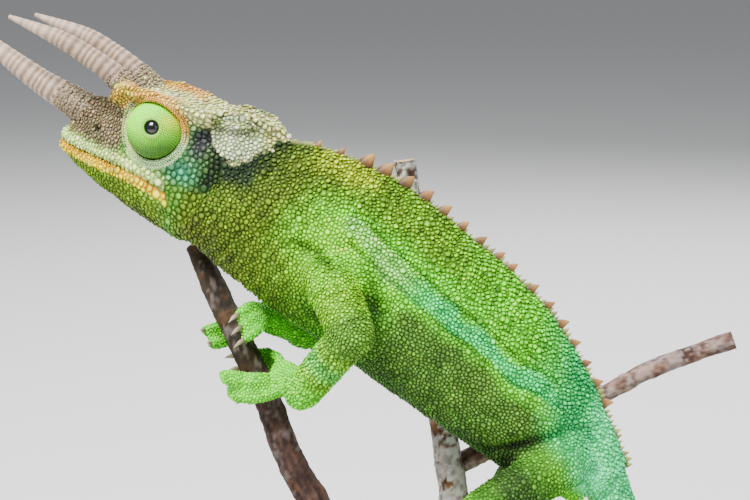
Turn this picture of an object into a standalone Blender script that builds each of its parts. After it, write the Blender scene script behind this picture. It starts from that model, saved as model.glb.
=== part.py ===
"""Adult male Jackson's chameleon (Trioceros jacksonii), life size, on two cut stems with a display stand.

Lengths are in millimetres here; publish() turns them into metres.
Row frame: the animal faces -X, its left side is -Y, Z is up and the floor is Z = 0.
"""
import math

import bmesh
import bpy
from mathutils import Matrix, Vector

MM = 0.001
GAP = 0.3                 # clearance between neighbouring solids
SHEET_REACH = 18.0        # half width of the thin sheet that opens the mouth
MERGE = 0.002             # vertices closer than this are one

# Head: its own frame has forward (snout), left and up, with the origin midway between the eyes.
HEAD_CENTRE = Vector((-46.3, 6.7, 144.1))
HEAD_YAW = math.radians(16.0)
HEAD_PITCH = math.radians(21.0)
SKULL_SIDES = 20
# forward, top, bottom, half width
SKULL = (
    (21.0, -8.6, -13.0, 2.0), (19.0, -5.6, -14.1, 3.9), (15.5, -2.4, -15.6, 5.2),
    (11.5, 0.6, -16.9, 6.4), (7.0, 3.4, -17.9, 7.6), (1.5, 5.0, -19.2, 8.8),
    (-4.0, 5.8, -20.2, 9.6), (-9.5, 6.6, -21.0, 9.7), (-14.5, 7.6, -20.0, 8.8),
    (-19.0, 7.9, -14.0, 6.6), (-22.6, 7.6, -1.0, 3.0),
)
MOUTH = ((26.0, -10.7), (18.3, -11.0), (11.2, -10.6), (5.5, -10.1), (-0.6, -9.9), (-6.3, -10.6), (-9.0, -14.0),
         (-10.6, -26.0))
EYE_OUT = 7.4             # eye centre from the midline
EYE_RADIUS = 6.2
EYE_FLATTEN = 0.86
BROW_RIDGE = ((10.4, 7.6, 2.6), (8.0, 8.4, 5.2), (3.2, 8.8, 6.2), (-2.0, 9.0, 6.4), (-7.6, 8.6, 6.2))
CASQUE_RIDGE = ((-9.4, 8.0, 6.6), (-12.5, 7.2, 8.2), (-17.4, 5.0, 8.9), (-22.2, 0.6, 7.8))
CASQUE_KEEL = ((-6.0, 0.0, 5.6), (-12.0, 0.0, 7.8), (-18.0, 0.0, 8.8), (-23.2, 0.0, 7.8))
# Brow shelf over the eyes: forward, edge height, bottom, half width; it dips to the midline.
BROW_SHELF = (
    (9.6, 3.9, -2.0, 5.2), (6.5, 6.1, -2.0, 7.0), (2.5, 7.2, -2.0, 8.3), (-2.5, 7.5, -1.0, 8.7),
    (-8.0, 7.5, 2.5, 8.3), (-11.0, 7.7, 4.0, 7.2),
)
SHELF_DIP = 0.9
TEMPLE_BOSS = ((-11.3, 5.1, 4.0), (-14.6, 5.0, 4.3), (-17.2, 4.1, 4.7))
NOSE_BOSS = ((9.0, 0.0, -3.0), (13.0, 0.0, -3.0), (16.6, 0.0, -3.9))
BROW_RADIUS = 1.25
NOSE_BOSS_RADIUS = 4.1
TEMPLE_RADIUS = 3.3
CASQUE_RADIUS = 1.15
HORN_SIDES = 10
NOSE_HORN = ((15.2, 0.0, -4.2), (22.0, 0.0, -3.2), (29.7, 0.0, -2.1), (40.1, 0.0, 0.3), (48.6, 0.0, 3.0))
NOSE_RADII = (3.5, 3.2, 2.7, 1.9, 0.5)
BROW_HORN = ((5.4, 4.9, 3.2), (11.5, 5.3, 6.1), (18.4, 5.7, 7.9), (26.0, 6.1, 9.0), (37.6, 5.6, 8.9))
BROW_HORN_RADII = (2.8, 2.5, 2.2, 1.8, 0.45)

# Body: centre x and z, half depth, lean of the belly-to-back line in degrees, half width.
BODY_SIDES = 20
BODY = (
    (-37.4, 132.6, 11.4, 50.0, 6.6), (-31.9, 131.3, 14.4, 48.0, 7.8), (-24.5, 127.7, 16.5, 50.4, 8.4),
    (-16.4, 123.1, 17.9, 50.9, 8.9), (-7.1, 116.9, 18.2, 52.9, 9.3), (1.5, 110.4, 18.0, 54.4, 9.6),
    (10.0, 103.7, 17.7, 55.8, 9.6), (17.7, 97.3, 17.0, 56.2, 9.3), (24.1, 91.6, 15.7, 56.5, 8.8),
    (29.2, 85.8, 13.9, 56.6, 8.2), (34.4, 80.4, 11.8, 55.7, 7.5), (38.5, 75.1, 8.8, 48.2, 6.6),
    (42.1, 70.0, 6.5, 29.9, 5.6),
)
BACK_PINCH = 0.42         # how far the flanks draw in to the crest
BELLY_PINCH = 0.30
STATION_LENGTH = 9.0      # usual distance between stations
NECK_END = 2.6            # station numbers where one solid hands over to the next
TRUNK_MIDDLE = 6.5
TRUNK_END = 11.6
RINGS_PER_STATION = 1

# Tail: a short drop, then a loose spiral that winds clockwise seen from the animal's left.
TAIL_BASE = Vector((44.3, -0.2, 66.3))
COIL_CENTRE = Vector((35.5, -1.0, 39.5))
COIL_OUTER = 18.0
COIL_INNER = 2.8
COIL_TURNS = 1.7
TAIL_LENGTH = 132.0       # along its middle line, from hips to tip
COIL_SHIFT = 3.0          # the inner turns lie this much nearer the left side
TAIL_ROOT_RADIUS = 4.9
TAIL_TIP_RADIUS = 0.9
TAIL_SIDES = 10
TAIL_RINGS = 36
TAIL_PIECES = 5

CREST_HEIGHT = 2.6
CREST_BASE = 1.35
CREST_STEP = 4.7
CREST_COUNT = 18
CREST_MARGIN = 0.22       # spines keep this many stations from a joint of the trunk

# Limbs run as capsules between named points, with a radius at each.
LIMB_SIDES = 9
ARM_RADII = (6.0, 5.3, 4.9, 4.1)      # shoulder, upper arm, elbow, wrist
LEG_RADII = (5.8, 5.2, 4.6, 3.5)
SHOULDER_L, ELBOW_L, WRIST_L = Vector((-14.5, -6.2, 116.6)), Vector((-9.4, -14.6, 106.0)), Vector((-19.4, -9.2, 93.2))
SHOULDER_R, ELBOW_R, WRIST_R = Vector((-16.5, 6.4, 113.6)), Vector((-9.0, 13.6, 101.0)), Vector((-19.6, 9.6, 101.2))
HIP_L, KNEE_L, ANKLE_L = Vector((33.5, -4.9, 77.5)), Vector((15.8, -12.4, 69.6)), Vector((19.0, 3.2, 59.5))
HIP_R, KNEE_R, ANKLE_R = Vector((32.8, 5.4, 77.0)), Vector((24.6, 20.0, 65.0)), Vector((23.2, 17.4, 48.6))

# Perch: bottom-to-top centre lines and radii of the cut stems.
STEM_SIDES = 11
FRONT_STEM = (Vector((-9.5, 0.0, 54.0)), Vector((-17.8, 0.0, 67.9)), Vector((-23.0, 0.0, 78.0)),
              Vector((-26.6, 0.0, 88.5)), Vector((-32.8, 1.4, 102.0)), Vector((-37.6, 5.2, 111.0)),
              Vector((-41.6, 10.2, 119.0)))
FRONT_RADII = (4.0, 3.8, 3.5, 3.3, 3.2, 3.0, 2.8)
REAR_STEM = (Vector((12.6, 13.4, 36.0)), Vector((11.9, 13.4, 50.0)), Vector((11.9, 13.6, 64.0)),
             Vector((9.9, 14.0, 77.0)), Vector((5.5, 14.6, 106.9)), Vector((1.2, 15.0, 136.2)))
REAR_RADII = (4.0, 3.9, 3.8, 3.5, 3.0, 2.6)
SIDE_BRANCH = (Vector((13.4, 14.2, 71.6)), Vector((27.0, 16.6, 77.8)), Vector((43.5, 18.0, 85.3)),
               Vector((53.0, 17.0, 90.9)), Vector((63.4, 16.0, 95.3)), Vector((70.7, 15.4, 98.0)))
SIDE_RADII = (2.9, 2.6, 2.3, 2.4, 2.3, 2.4)

BASE_LENGTH, BASE_DEPTH, BASE_HEIGHT, BASE_BEVEL = 142.0, 92.0, 8.0, 1.2
ROD_RADIUS = 2.4
ROD_SIDES = 14

TOE_SIDES = 6
TOE_LAG = 6.0             # degrees by which each further toe stops short of the one before
CLAW_LENGTH = 2.3
CLAW_RADIUS = 0.66
CLAW_SIDES = 4

MATERIALS = {
    "green": (0.20, 0.42, 0.07, 1.0), "teal": (0.16, 0.48, 0.30, 1.0), "horn": (0.45, 0.35, 0.28, 1.0),
    "eye": (0.30, 0.60, 0.06, 1.0), "bark": (0.20, 0.10, 0.07, 1.0), "wood": (0.10, 0.05, 0.03, 1.0),
    "steel": (0.55, 0.56, 0.58, 1.0),
}


# ---------------------------------------------------------------- small geometry helpers

def lerp(a, b, t):
    """Value between a and b at t."""
    return a + (b - a) * t


def catmull(points, position):
    """Point on a smooth curve through the given points at a fractional station number."""
    last = len(points) - 1
    index = min(int(position), last - 1)
    t = position - index
    p0, p1 = points[max(index - 1, 0)], points[index]
    p2, p3 = points[index + 1], points[min(index + 2, last)]
    return (p1 * 2 + (p2 - p0) * t + (p0 * 2 - p1 * 5 + p2 * 4 - p3) * t * t
            + (p1 * 3 - p0 - p2 * 3 + p3) * t ** 3) * 0.5


def resample(points, radii, count):
    """Smooth path of count points with a radius at each."""
    last = len(points) - 1
    path, sizes = [], []
    for step in range(count):
        position = last * step / (count - 1)
        index = min(int(position), last - 1)
        path.append(catmull(points, position))
        sizes.append(lerp(radii[index], radii[index + 1], position - index))
    return path, sizes


def new_object(name, mesh_builder):
    """Object whose mesh is the closed, outward-facing result of a bmesh builder."""
    bm = bmesh.new()
    mesh_builder(bm)
    bmesh.ops.remove_doubles(bm, verts=bm.verts, dist=MERGE)
    bmesh.ops.recalc_face_normals(bm, faces=bm.faces)
    mesh = bpy.data.meshes.new(name)
    bm.to_mesh(mesh)
    bm.free()
    body = bpy.data.objects.new(name, mesh)
    bpy.context.scene.collection.objects.link(body)
    return body


def loft(name, rings):
    """Closed solid through rings of equal length, capped flat at both ends."""
    def build(bm):
        made = [[bm.verts.new(point) for point in ring] for ring in rings]
        for lower, upper in zip(made, made[1:]):
            for index, corner in enumerate(lower):
                after = (index + 1) % len(lower)
                bm.faces.new((corner, lower[after], upper[after], upper[index]))
        bm.faces.new(made[0][::-1])
        bm.faces.new(made[-1])
    return new_object(name, build)


def tube_rings(path, radii, sides, up):
    """Round rings square to a path, their first corner square to up."""
    rings = []
    for index, centre in enumerate(path):
        ahead = path[min(index + 1, len(path) - 1)] - path[max(index - 1, 0)]
        across = ahead.cross(up).normalized()
        lift = across.cross(ahead).normalized()
        ring = []
        for side in range(sides):
            angle = math.tau * side / sides
            ring.append(centre + radii[index] * (across * math.cos(angle) + lift * math.sin(angle)))
        rings.append(ring)
    return rings


def domed(path, radii, start=True, end=True):
    """Path and radii with rounded ends added."""
    def cap(tip, inner, radius):
        outward = (tip - inner).normalized() * radius
        return [tip + outward * 0.62, tip + outward * 0.94], [radius * 0.78, radius * 0.34]
    path, radii = list(path), list(radii)
    if end:
        points, sizes = cap(path[-1], path[-2], radii[-1])
        path, radii = path + points, radii + sizes
    if start:
        points, sizes = cap(path[0], path[1], radii[0])
        path, radii = points[::-1] + path, sizes[::-1] + radii
    return path, radii


def capsule(name, points, radii, sides, grow=0.0, count=5, up=Vector((0.0, 1.0, 0.15)), start=True):
    """Round-ended limb through the points; start says whether its first end is rounded too."""
    path, sizes = resample(points, [radius + grow for radius in radii], count)
    path, sizes = domed(path, sizes, start=start)
    return loft(name, tube_rings(path, sizes, sides, up))


def boolean(target, cutter, operation):
    """Apply an exact boolean to target and remove the cutter."""
    cutter.hide_render = True
    cutter.display_type = "WIRE"
    modifier = target.modifiers.new("cut", "BOOLEAN")
    modifier.operation = operation
    modifier.solver = "EXACT"
    modifier.object = cutter
    depsgraph = bpy.context.evaluated_depsgraph_get()
    mesh = bpy.data.meshes.new_from_object(target.evaluated_get(depsgraph))
    target.modifiers.clear()
    target.data = mesh
    bpy.data.objects.remove(cutter, do_unlink=True)
    return target


def join_solid(target, *others):
    """Fuse others into target."""
    for other in others:
        boolean(target, other, "UNION")
    return target


def carve(target, *cutters):
    """Take cutters out of target."""
    for cutter in cutters:
        boolean(target, cutter, "DIFFERENCE")
    return target


def islands(bm):
    """Loose bodies of a bmesh as lists of faces, in a steady order."""
    bodies, seen = [], set()
    bm.faces.ensure_lookup_table()
    for first in bm.faces:
        if first.index in seen:
            continue
        seen.add(first.index)
        stack, found = [first], []
        while stack:
            face = stack.pop()
            found.append(face)
            for edge in face.edges:
                for other in edge.link_faces:
                    if other.index not in seen:
                        seen.add(other.index)
                        stack.append(other)
        bodies.append(found)
    return bodies


def keep_body(source, name, rank):
    """Copy of source that keeps only one loose body; rank 0 is the largest."""
    mesh = source.data.copy()
    body = bpy.data.objects.new(name, mesh)
    bpy.context.scene.collection.objects.link(body)
    bm = bmesh.new()
    bm.from_mesh(mesh)
    bodies = sorted(islands(bm), key=len, reverse=True)
    keep = {vert.index for face in bodies[rank] for vert in face.verts}
    bmesh.ops.delete(bm, geom=[vert for vert in bm.verts if vert.index not in keep], context="VERTS")
    bm.to_mesh(mesh)
    bm.free()
    return body


# ---------------------------------------------------------------- publishing

def paint(body, finish):
    """Own Principled material for one node."""
    material = bpy.data.materials.new(body.name)
    material.use_nodes = True
    shader = material.node_tree.nodes["Principled BSDF"]
    shader.inputs["Base Color"].default_value = MATERIALS[finish]
    shader.inputs["Roughness"].default_value = 0.6
    material.diffuse_color = MATERIALS[finish]
    body.data.materials.clear()
    body.data.materials.append(material)


def publish(body, finish, origin):
    """Triangulate, scale to metres, set the origin and the material."""
    bm = bmesh.new()
    bm.from_mesh(body.data)
    bmesh.ops.remove_doubles(bm, verts=bm.verts, dist=MERGE)
    bmesh.ops.dissolve_degenerate(bm, edges=bm.edges, dist=MERGE)
    bmesh.ops.triangulate(bm, faces=bm.faces, ngon_method="EAR_CLIP")
    bmesh.ops.remove_doubles(bm, verts=bm.verts, dist=MERGE)
    bmesh.ops.dissolve_degenerate(bm, edges=bm.edges, dist=MERGE)
    bmesh.ops.recalc_face_normals(bm, faces=bm.faces)
    bmesh.ops.transform(bm, matrix=Matrix.Scale(MM, 4) @ Matrix.Translation(-origin), verts=bm.verts)
    bm.to_mesh(body.data)
    bm.free()
    body.location = origin * MM
    paint(body, finish)


# ---------------------------------------------------------------- head

def head_frame():
    """Matrix from head coordinates (forward, left, up) to the row frame."""
    forward = Vector((-math.cos(HEAD_YAW) * math.cos(HEAD_PITCH), math.sin(HEAD_YAW) * math.cos(HEAD_PITCH),
                      math.sin(HEAD_PITCH)))
    left = Vector((-math.sin(HEAD_YAW), -math.cos(HEAD_YAW), 0.0))
    up = forward.cross(left)
    matrix = Matrix((forward, left, up)).transposed().to_4x4()
    matrix.translation = HEAD_CENTRE
    return matrix


HEAD = head_frame()


def at_head(point):
    """Head coordinates to the row frame."""
    return HEAD @ Vector(point)


def skull_ring(forward, top, bottom, width):
    """Section of the skull: flat-topped, narrowing to the throat."""
    ring = []
    for side in range(SKULL_SIDES):
        angle = math.tau * (side + 0.5) / SKULL_SIDES
        sine, cosine = math.sin(angle), math.cos(angle)
        across = math.copysign(abs(sine) ** 0.8, sine)
        high = math.copysign(abs(cosine) ** 0.9, cosine)
        taper = 1.0 - 0.34 * max(-cosine, 0.0) ** 2 - 0.10 * max(cosine, 0.0) ** 2
        ring.append(at_head((forward, width * across * taper, lerp(bottom, top, (high + 1.0) / 2.0))))
    return ring


def skull_blank(name, grow=0.0):
    """Whole head without its ridges."""
    rings = []
    for forward, top, bottom, width in SKULL:
        rings.append(skull_ring(forward - grow * (forward < 0.0), top + grow, bottom - grow, width + grow))
    return loft(name, rings)


def head_ridge(name, points, radius, grow=0.0):
    """Raised bony ridge on the head."""
    radii = [radius + grow] * len(points)
    return capsule(name, [at_head(point) for point in points], radii, 6, count=5, up=HEAD.to_3x3().col[2])


def brow_shelf():
    """Solid shelf between the brow ridges, hollowed a little along the midline."""
    rings = []
    for forward, top, bottom, width in BROW_SHELF:
        outline = [(-width, bottom), (-width, top)]
        outline += [(-width / 2.0, top - SHELF_DIP / 2.0), (0.0, top - SHELF_DIP), (width / 2.0, top - SHELF_DIP / 2.0)]
        outline += [(width, top), (width, bottom)]
        rings.append([at_head((forward, left, up)) for left, up in outline])
    return loft("brow_shelf", rings)


def mirrored(points):
    """The same head points on the right side."""
    return [(forward, -left, up) for forward, left, up in points]


def eye(name, grow=0.0):
    """Eye turret, a slightly flattened ball; the side comes from the name."""
    side = -1.0 if name.endswith("right") else 1.0
    def build(bm):
        bmesh.ops.create_uvsphere(bm, u_segments=14, v_segments=8, radius=EYE_RADIUS + grow)
        squash = Matrix.Diagonal((1.0, 1.0, EYE_FLATTEN, 1.0))
        turn = Matrix.Rotation(math.radians(-90.0), 4, "X")
        place = Matrix.Translation((0.0, side * EYE_OUT, 0.0))
        bmesh.ops.transform(bm, matrix=HEAD @ place @ turn @ squash, verts=bm.verts)
    return new_object(name, build)


def horn(name, points, radii, grow=0.0):
    """Tapered horn."""
    path, sizes = resample([at_head(point) for point in points], [radius + grow for radius in radii], 7)
    path[0] = path[0] + (path[0] - path[1]).normalized() * grow
    path, sizes = domed(path, sizes, start=False)
    return loft(name, tube_rings(path, sizes, HORN_SIDES, HEAD.to_3x3().col[2]))


def mouth_sheet():
    """Thin sheet that parts the lower jaw from the head."""
    upper, lower = [], []
    for index, (forward, up) in enumerate(MOUTH):
        before, after = MOUTH[max(index - 1, 0)], MOUTH[min(index + 1, len(MOUTH) - 1)]
        along = Vector((after[0] - before[0], after[1] - before[1])).normalized() * GAP / 2.0
        upper.append((forward - along.y, up + along.x))
        lower.append((forward + along.y, up - along.x))
    outline = upper + lower[::-1]
    rings = [[at_head((forward, side, up)) for forward, up in outline] for side in (-SHEET_REACH, SHEET_REACH)]
    return loft("mouth_sheet", rings)


HORNS = (
    ("horn_nose", NOSE_HORN, NOSE_RADII),
    ("horn_left", BROW_HORN, BROW_HORN_RADII),
    ("horn_right", tuple(mirrored(BROW_HORN)), BROW_HORN_RADII),
)


def build_head():
    """Head, lower jaw, eyes and horns."""
    skull = skull_blank("skull")
    join_solid(skull, brow_shelf())
    pairs = ((BROW_RIDGE, BROW_RADIUS), (CASQUE_RIDGE, CASQUE_RADIUS), (TEMPLE_BOSS, TEMPLE_RADIUS))
    for points, radius in pairs:
        join_solid(skull, head_ridge("ridge", points, radius), head_ridge("ridge", mirrored(points), radius))
    for points, radius in ((CASQUE_KEEL, CASQUE_RADIUS), (NOSE_BOSS, NOSE_BOSS_RADIUS)):
        join_solid(skull, head_ridge("keel", points, radius))
    for side in ("left", "right"):
        carve(skull, eye("bowl_" + side, GAP))
        publish(eye("eye_" + side), "eye", at_head((0.0, EYE_OUT if side == "left" else -EYE_OUT, 0.0)))
    for name, points, radii in HORNS:
        carve(skull, horn("socket", points, radii, GAP))
        publish(horn(name, points, radii), "horn", at_head(points[0]))
    carve(skull, mouth_sheet())
    head, jaw = keep_body(skull, "head", 0), keep_body(skull, "lower_jaw", 1)
    bpy.data.objects.remove(skull, do_unlink=True)
    publish(head, "green", at_head((-18.0, 0.0, 0.0)))
    publish(jaw, "green", at_head((-6.0, 0.0, -11.0)))


# ---------------------------------------------------------------- body and tail

def body_values(position):
    """Smoothed body station at a fractional station number."""
    columns = []
    for column in zip(*BODY):
        columns.append(catmull([Vector((value, 0.0, 0.0)) for value in column], position).x)
    return columns


def body_ring(position, grow=0.0):
    """Section of the body: a tall leaf shape with the crest at its top."""
    x, z, depth, lean, width = body_values(position)
    depth, width = depth + grow, width + grow * 1.3
    rise = Vector((math.cos(math.radians(lean)), 0.0, math.sin(math.radians(lean))))
    ring = []
    for side in range(BODY_SIDES):
        angle = math.tau * side / BODY_SIDES
        pinch = 1.0 - BACK_PINCH * max(math.cos(angle), 0.0) ** 3 - BELLY_PINCH * max(-math.cos(angle), 0.0) ** 3
        across = Vector((0.0, -math.sin(angle) * width * pinch, 0.0))
        ring.append(Vector((x, 0.0, z)) + rise * depth * math.cos(angle) + across)
    return ring


def body_piece(name, start, end, grow=0.0):
    """Closed length of the body between two station numbers, less half a gap at each joint."""
    count = max(2, round((end - start) * RINGS_PER_STATION) + 1)
    stations = [lerp(start, end, step / (count - 1)) for step in range(count)]
    spacing = GAP / STATION_LENGTH
    stations[0] += spacing / 2.0
    stations[-1] -= spacing / 2.0
    return loft(name, [body_ring(station, grow) for station in stations])


def tail_point(share):
    """Centre of the tail at a share of its length."""
    drop = 0.16
    start = COIL_CENTRE + Vector((COIL_OUTER, 0.0, 0.0))
    if share < drop:
        t = share / drop
        pull = Vector((4.0, 0.0, -9.0)) * (1.0 - t) * t * 1.4
        return lerp(TAIL_BASE, start, t) + pull
    t = (share - drop) / (1.0 - drop)
    eased = 1.0 - max(1.0 - t, 0.0) ** 1.35
    angle = -math.tau * COIL_TURNS * eased
    radius = lerp(COIL_OUTER, COIL_INNER, eased)
    return COIL_CENTRE + Vector((math.cos(angle) * radius, -COIL_SHIFT * t, math.sin(angle) * radius))


def tail_radius(share):
    """Radius of the tail at a share of its length."""
    return lerp(TAIL_ROOT_RADIUS, TAIL_TIP_RADIUS, share ** 0.85)


def tail_rings(start, end, count):
    """Rings of the tail, their first corner on its outer, upper side."""
    shares = [lerp(start, end, step / (count - 1)) for step in range(count)]
    rings = []
    for share in shares:
        ahead = (tail_point(share + 0.004) - tail_point(share - 0.004)).normalized()
        outward = Vector((0.0, 1.0, 0.0)).cross(ahead).normalized() * -1.0
        across = ahead.cross(outward).normalized()
        centre, radius = tail_point(share), tail_radius(share)
        ring = []
        for side in range(TAIL_SIDES):
            angle = math.tau * side / TAIL_SIDES
            ring.append(centre + radius * (outward * math.cos(angle) * 1.08 + across * math.sin(angle) * 0.94))
        rings.append(ring)
    return rings


def trunk_space():
    """Neck and trunk with the clearance round them, for cutting the limbs."""
    return body_piece("trunk_space", 0.0, len(BODY) - 1.0, GAP)


def crest_spine(base, outward, backward, size):
    """One crest spine: a small cone that leans backward."""
    side = outward.cross(backward).normalized()
    def build(bm):
        corners = []
        for step in range(6):
            angle = math.tau * step / 6
            offset = backward * math.cos(angle) * CREST_BASE * 1.1 + side * math.sin(angle) * CREST_BASE * 0.8
            corners.append(bm.verts.new(base - outward * 1.0 + offset * size))
        tip = bm.verts.new(base + outward * CREST_HEIGHT * size + backward * 1.1 * size)
        for step, corner in enumerate(corners):
            bm.faces.new((corner, corners[(step + 1) % 6], tip))
        bm.faces.new(corners[::-1])
    return new_object("spine", build)


def crest_places():
    """Where the crest spines stand: station number and relative size."""
    places, station, walked = [], 1.15, 0.0
    before = body_ring(station)[0]
    while len(places) < CREST_COUNT and station < len(BODY) - 1.2:
        station += 0.01
        here = body_ring(station)[0]
        walked += (here - before).length
        before = here
        if walked >= CREST_STEP:
            walked = 0.0
            size = 0.62 + 0.38 * math.sin(math.pi * min(1.0, len(places) / 9.0 + 0.12))
            places.append((station, max(size, 0.72) if len(places) > 1 else 0.5))
    return places


def build_trunk():
    """Neck and trunk with the crest, cut out for the head and the limb roots."""
    spans = (("neck", 0.0, NECK_END), ("trunk_front", NECK_END, TRUNK_MIDDLE), ("trunk_rear", TRUNK_MIDDLE, TRUNK_END))
    places = crest_places()
    for name, start, end in spans:
        piece = body_piece(name, start, end)
        for place, size in places:
            if start <= place < end:
                station = min(max(place, start + CREST_MARGIN), end - CREST_MARGIN)
                low, high = body_ring(station - 0.05)[0], body_ring(station + 0.05)[0]
                along = (high - low).normalized()
                outward = Vector((0.0, 1.0, 0.0)).cross(along).normalized() * -1.0
                join_solid(piece, crest_spine(body_ring(station)[0], outward, along, size))
        if name == "neck":
            carve(piece, skull_blank("skull_space", GAP))
        publish(piece, "green", body_ring(start)[0].lerp(body_ring(start)[BODY_SIDES // 2], 0.5))


def build_tail():
    """Tail in lengths from the hips to its tip."""
    hand_over = [0.0, 0.17, 0.33, 0.50, 0.70, 1.0]
    gap_share = GAP / 2.0 / TAIL_LENGTH
    for number in range(TAIL_PIECES):
        start, end = hand_over[number] + gap_share, hand_over[number + 1] - gap_share
        count = max(6, round(TAIL_RINGS * (end - start)))
        rings = tail_rings(start, end, count)
        if number == 0:
            join = [body_ring(station) for station in (TRUNK_END + 0.035, len(BODY) - 1.0)]
            rings = [[ring[round(step * BODY_SIDES / TAIL_SIDES) % BODY_SIDES] for step in range(TAIL_SIDES)]
                     for ring in join] + rings[2:]
        piece = loft(f"tail_{number + 1}", rings)
        publish(piece, "teal", tail_point(start))


# ---------------------------------------------------------------- limbs and feet

class Limb:
    """One leg: an upper and a lower length, each a capsule, the lower let into the upper."""

    def __init__(self, label, root, bend, end, radii):
        self.label = label
        self.root, self.bend, self.end = root, bend, end
        self.radii = radii

    def upper(self, name, grow=0.0):
        """Upper length."""
        middle = self.root.lerp(self.bend, 0.5)
        radii = (self.radii[0], self.radii[1], self.radii[2])
        return capsule(name, (self.root, middle, self.bend), radii, LIMB_SIDES, grow)

    def lower(self, name, grow=0.0):
        """Lower length."""
        middle = self.bend.lerp(self.end, 0.5)
        radii = (self.radii[2] * 0.94, (self.radii[2] + self.radii[3]) * 0.48, self.radii[3])
        return capsule(name, (self.bend, middle, self.end), radii, LIMB_SIDES, grow)


LIMBS = (
    Limb("fore_left", SHOULDER_L, ELBOW_L, WRIST_L, ARM_RADII),
    Limb("fore_right", SHOULDER_R, ELBOW_R, WRIST_R, ARM_RADII),
    Limb("hind_left", HIP_L, KNEE_L, ANKLE_L, LEG_RADII),
    Limb("hind_right", HIP_R, KNEE_R, ANKLE_R, LEG_RADII),
)


class Foot:
    """Grasping foot: a palm beside a stem and two bundles of fused toes that close round it."""

    def __init__(self, limb, stem, radii, share, palm_angle, outer, inner):
        self.limb, self.share, self.palm_angle = limb, share, palm_angle
        self.centre = catmull(stem, share)
        self.axis = (catmull(stem, share + 0.05) - catmull(stem, share - 0.05)).normalized()
        self.right = self.axis.cross(Vector((0.0, 1.0, 0.0))).normalized() * -1.0
        self.front = self.right.cross(self.axis).normalized()
        if self.front.y > 0.0:
            self.front = -self.front
        self.stem_radius = lerp(radii[int(share)], radii[int(share) + 1], share - int(share))
        self.outer, self.inner = outer, inner

    def around(self, angle, along, distance):
        """Point beside the stem: angle 0 is the tail side, 90 the left side, 180 the head side."""
        turn = math.radians(angle)
        side = self.right * math.cos(turn) + self.front * math.sin(turn)
        return self.centre + side * distance + self.axis * along

    def palm_path(self):
        """Short path from the wrist to the stem's side."""
        reach = self.stem_radius + 3.3
        return (self.limb.end, self.around(self.palm_angle, 0.0, reach))

    def palm(self, name, grow=0.0):
        """Palm."""
        start, end = self.palm_path()
        return capsule(name, (start, end), (self.limb.radii[3] * 0.9, 3.2), 9, grow, count=3)

    def toe_points(self, bundle, number):
        """Path of one toe round the stem."""
        start, end, tilt, rise, radius, count = bundle
        end += TOE_LAG * number * math.copysign(1.0, start - end)
        spread = (number - (count - 1) / 2.0) * radius * 1.72
        distance = self.stem_radius + radius + GAP
        points = []
        for step in range(5):
            t = step / 4.0
            fan = spread * (0.55 + 0.45 * min(1.0, t * 2.0))
            angle = lerp(start, end, t)
            along = rise * t + tilt * math.cos(math.radians(angle)) + fan
            points.append(self.around(angle, along, distance + (1.0 - t) ** 2 * 0.9))
        return points

    def toe(self, bundle, number):
        """One toe, each a little slimmer than the one before."""
        radius = bundle[4] * (1.0 - 0.04 * number)
        return capsule("toe", self.toe_points(bundle, number), (radius, radius, radius, radius * 0.96, radius * 0.82),
                       TOE_SIDES, count=5, up=self.axis, start=False)

    def claw(self, bundle, number):
        """Claw at the end of one toe."""
        points = self.toe_points(bundle, number)
        ahead = (points[-1] - points[-2]).normalized()
        inward = (self.centre + self.axis * (points[-1] - self.centre).dot(self.axis) - points[-1]).normalized()
        base = points[-1] + ahead * bundle[4] * 0.35 - inward * 0.25
        tip = base + ahead * (CLAW_LENGTH + bundle[4] * 0.5) + inward * 0.35
        side = ahead.cross(inward).normalized()
        lift = side.cross(ahead).normalized()
        def build(bm):
            corners = []
            for step in range(CLAW_SIDES):
                angle = math.tau * step / CLAW_SIDES
                offset = side * math.cos(angle) + lift * math.sin(angle)
                corners.append(bm.verts.new(base + offset * CLAW_RADIUS))
            point = bm.verts.new(tip)
            for step, corner in enumerate(corners):
                bm.faces.new((corner, corners[(step + 1) % CLAW_SIDES], point))
            bm.faces.new(corners[::-1])
        return new_object("claw", build)

    def build(self):
        """Palm, toes and claws fused into one solid, cut out for the wrist."""
        foot = self.palm("foot_" + self.limb.label)
        for bundle in (self.outer, self.inner):
            toes = range(bundle[5])
            join_solid(foot, *[self.toe(bundle, number) for number in toes])
            join_solid(foot, *[self.claw(bundle, number) for number in toes])
        carve(foot, self.limb.lower("wrist_space", GAP))
        publish(foot, "teal", self.limb.end)


# Each bundle: start angle, end angle, tilt, rise, toe radius, number of toes.
FEET = (
    Foot(LIMBS[0], FRONT_STEM, FRONT_RADII, 3.32, 28.0, (44.0, 180.0, -2.2, 0.0, 2.1, 2), (14.0, -128.0, 0.0, 3.4, 1.5, 3)),
    Foot(LIMBS[1], FRONT_STEM, FRONT_RADII, 4.2, -38.0, (-62.0, -190.0, 0.0, 0.0, 1.75, 2), (-12.0, 66.0, 0.0, -1.6, 1.5, 3)),
    Foot(LIMBS[2], REAR_STEM, REAR_RADII, 1.42, 38.0, (60.0, 196.0, 0.0, 0.0, 1.6, 3), (12.0, -118.0, 0.0, 0.0, 1.85, 2)),
    Foot(LIMBS[3], REAR_STEM, REAR_RADII, 0.62, -18.0, (-38.0, -170.0, 0.0, 0.0, 1.6, 3), (8.0, 132.0, 0.0, 0.0, 1.85, 2)),
)


def build_limbs():
    """All legs and feet."""
    for limb, foot in zip(LIMBS, FEET):
        upper = carve(limb.upper("upper_" + limb.label), trunk_space())
        lower = carve(limb.lower("lower_" + limb.label), trunk_space(), limb.upper("bend_space", GAP))
        publish(upper, "green", limb.root)
        publish(lower, "green", limb.bend)
        foot.build()


# ---------------------------------------------------------------- perch and stand

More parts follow.
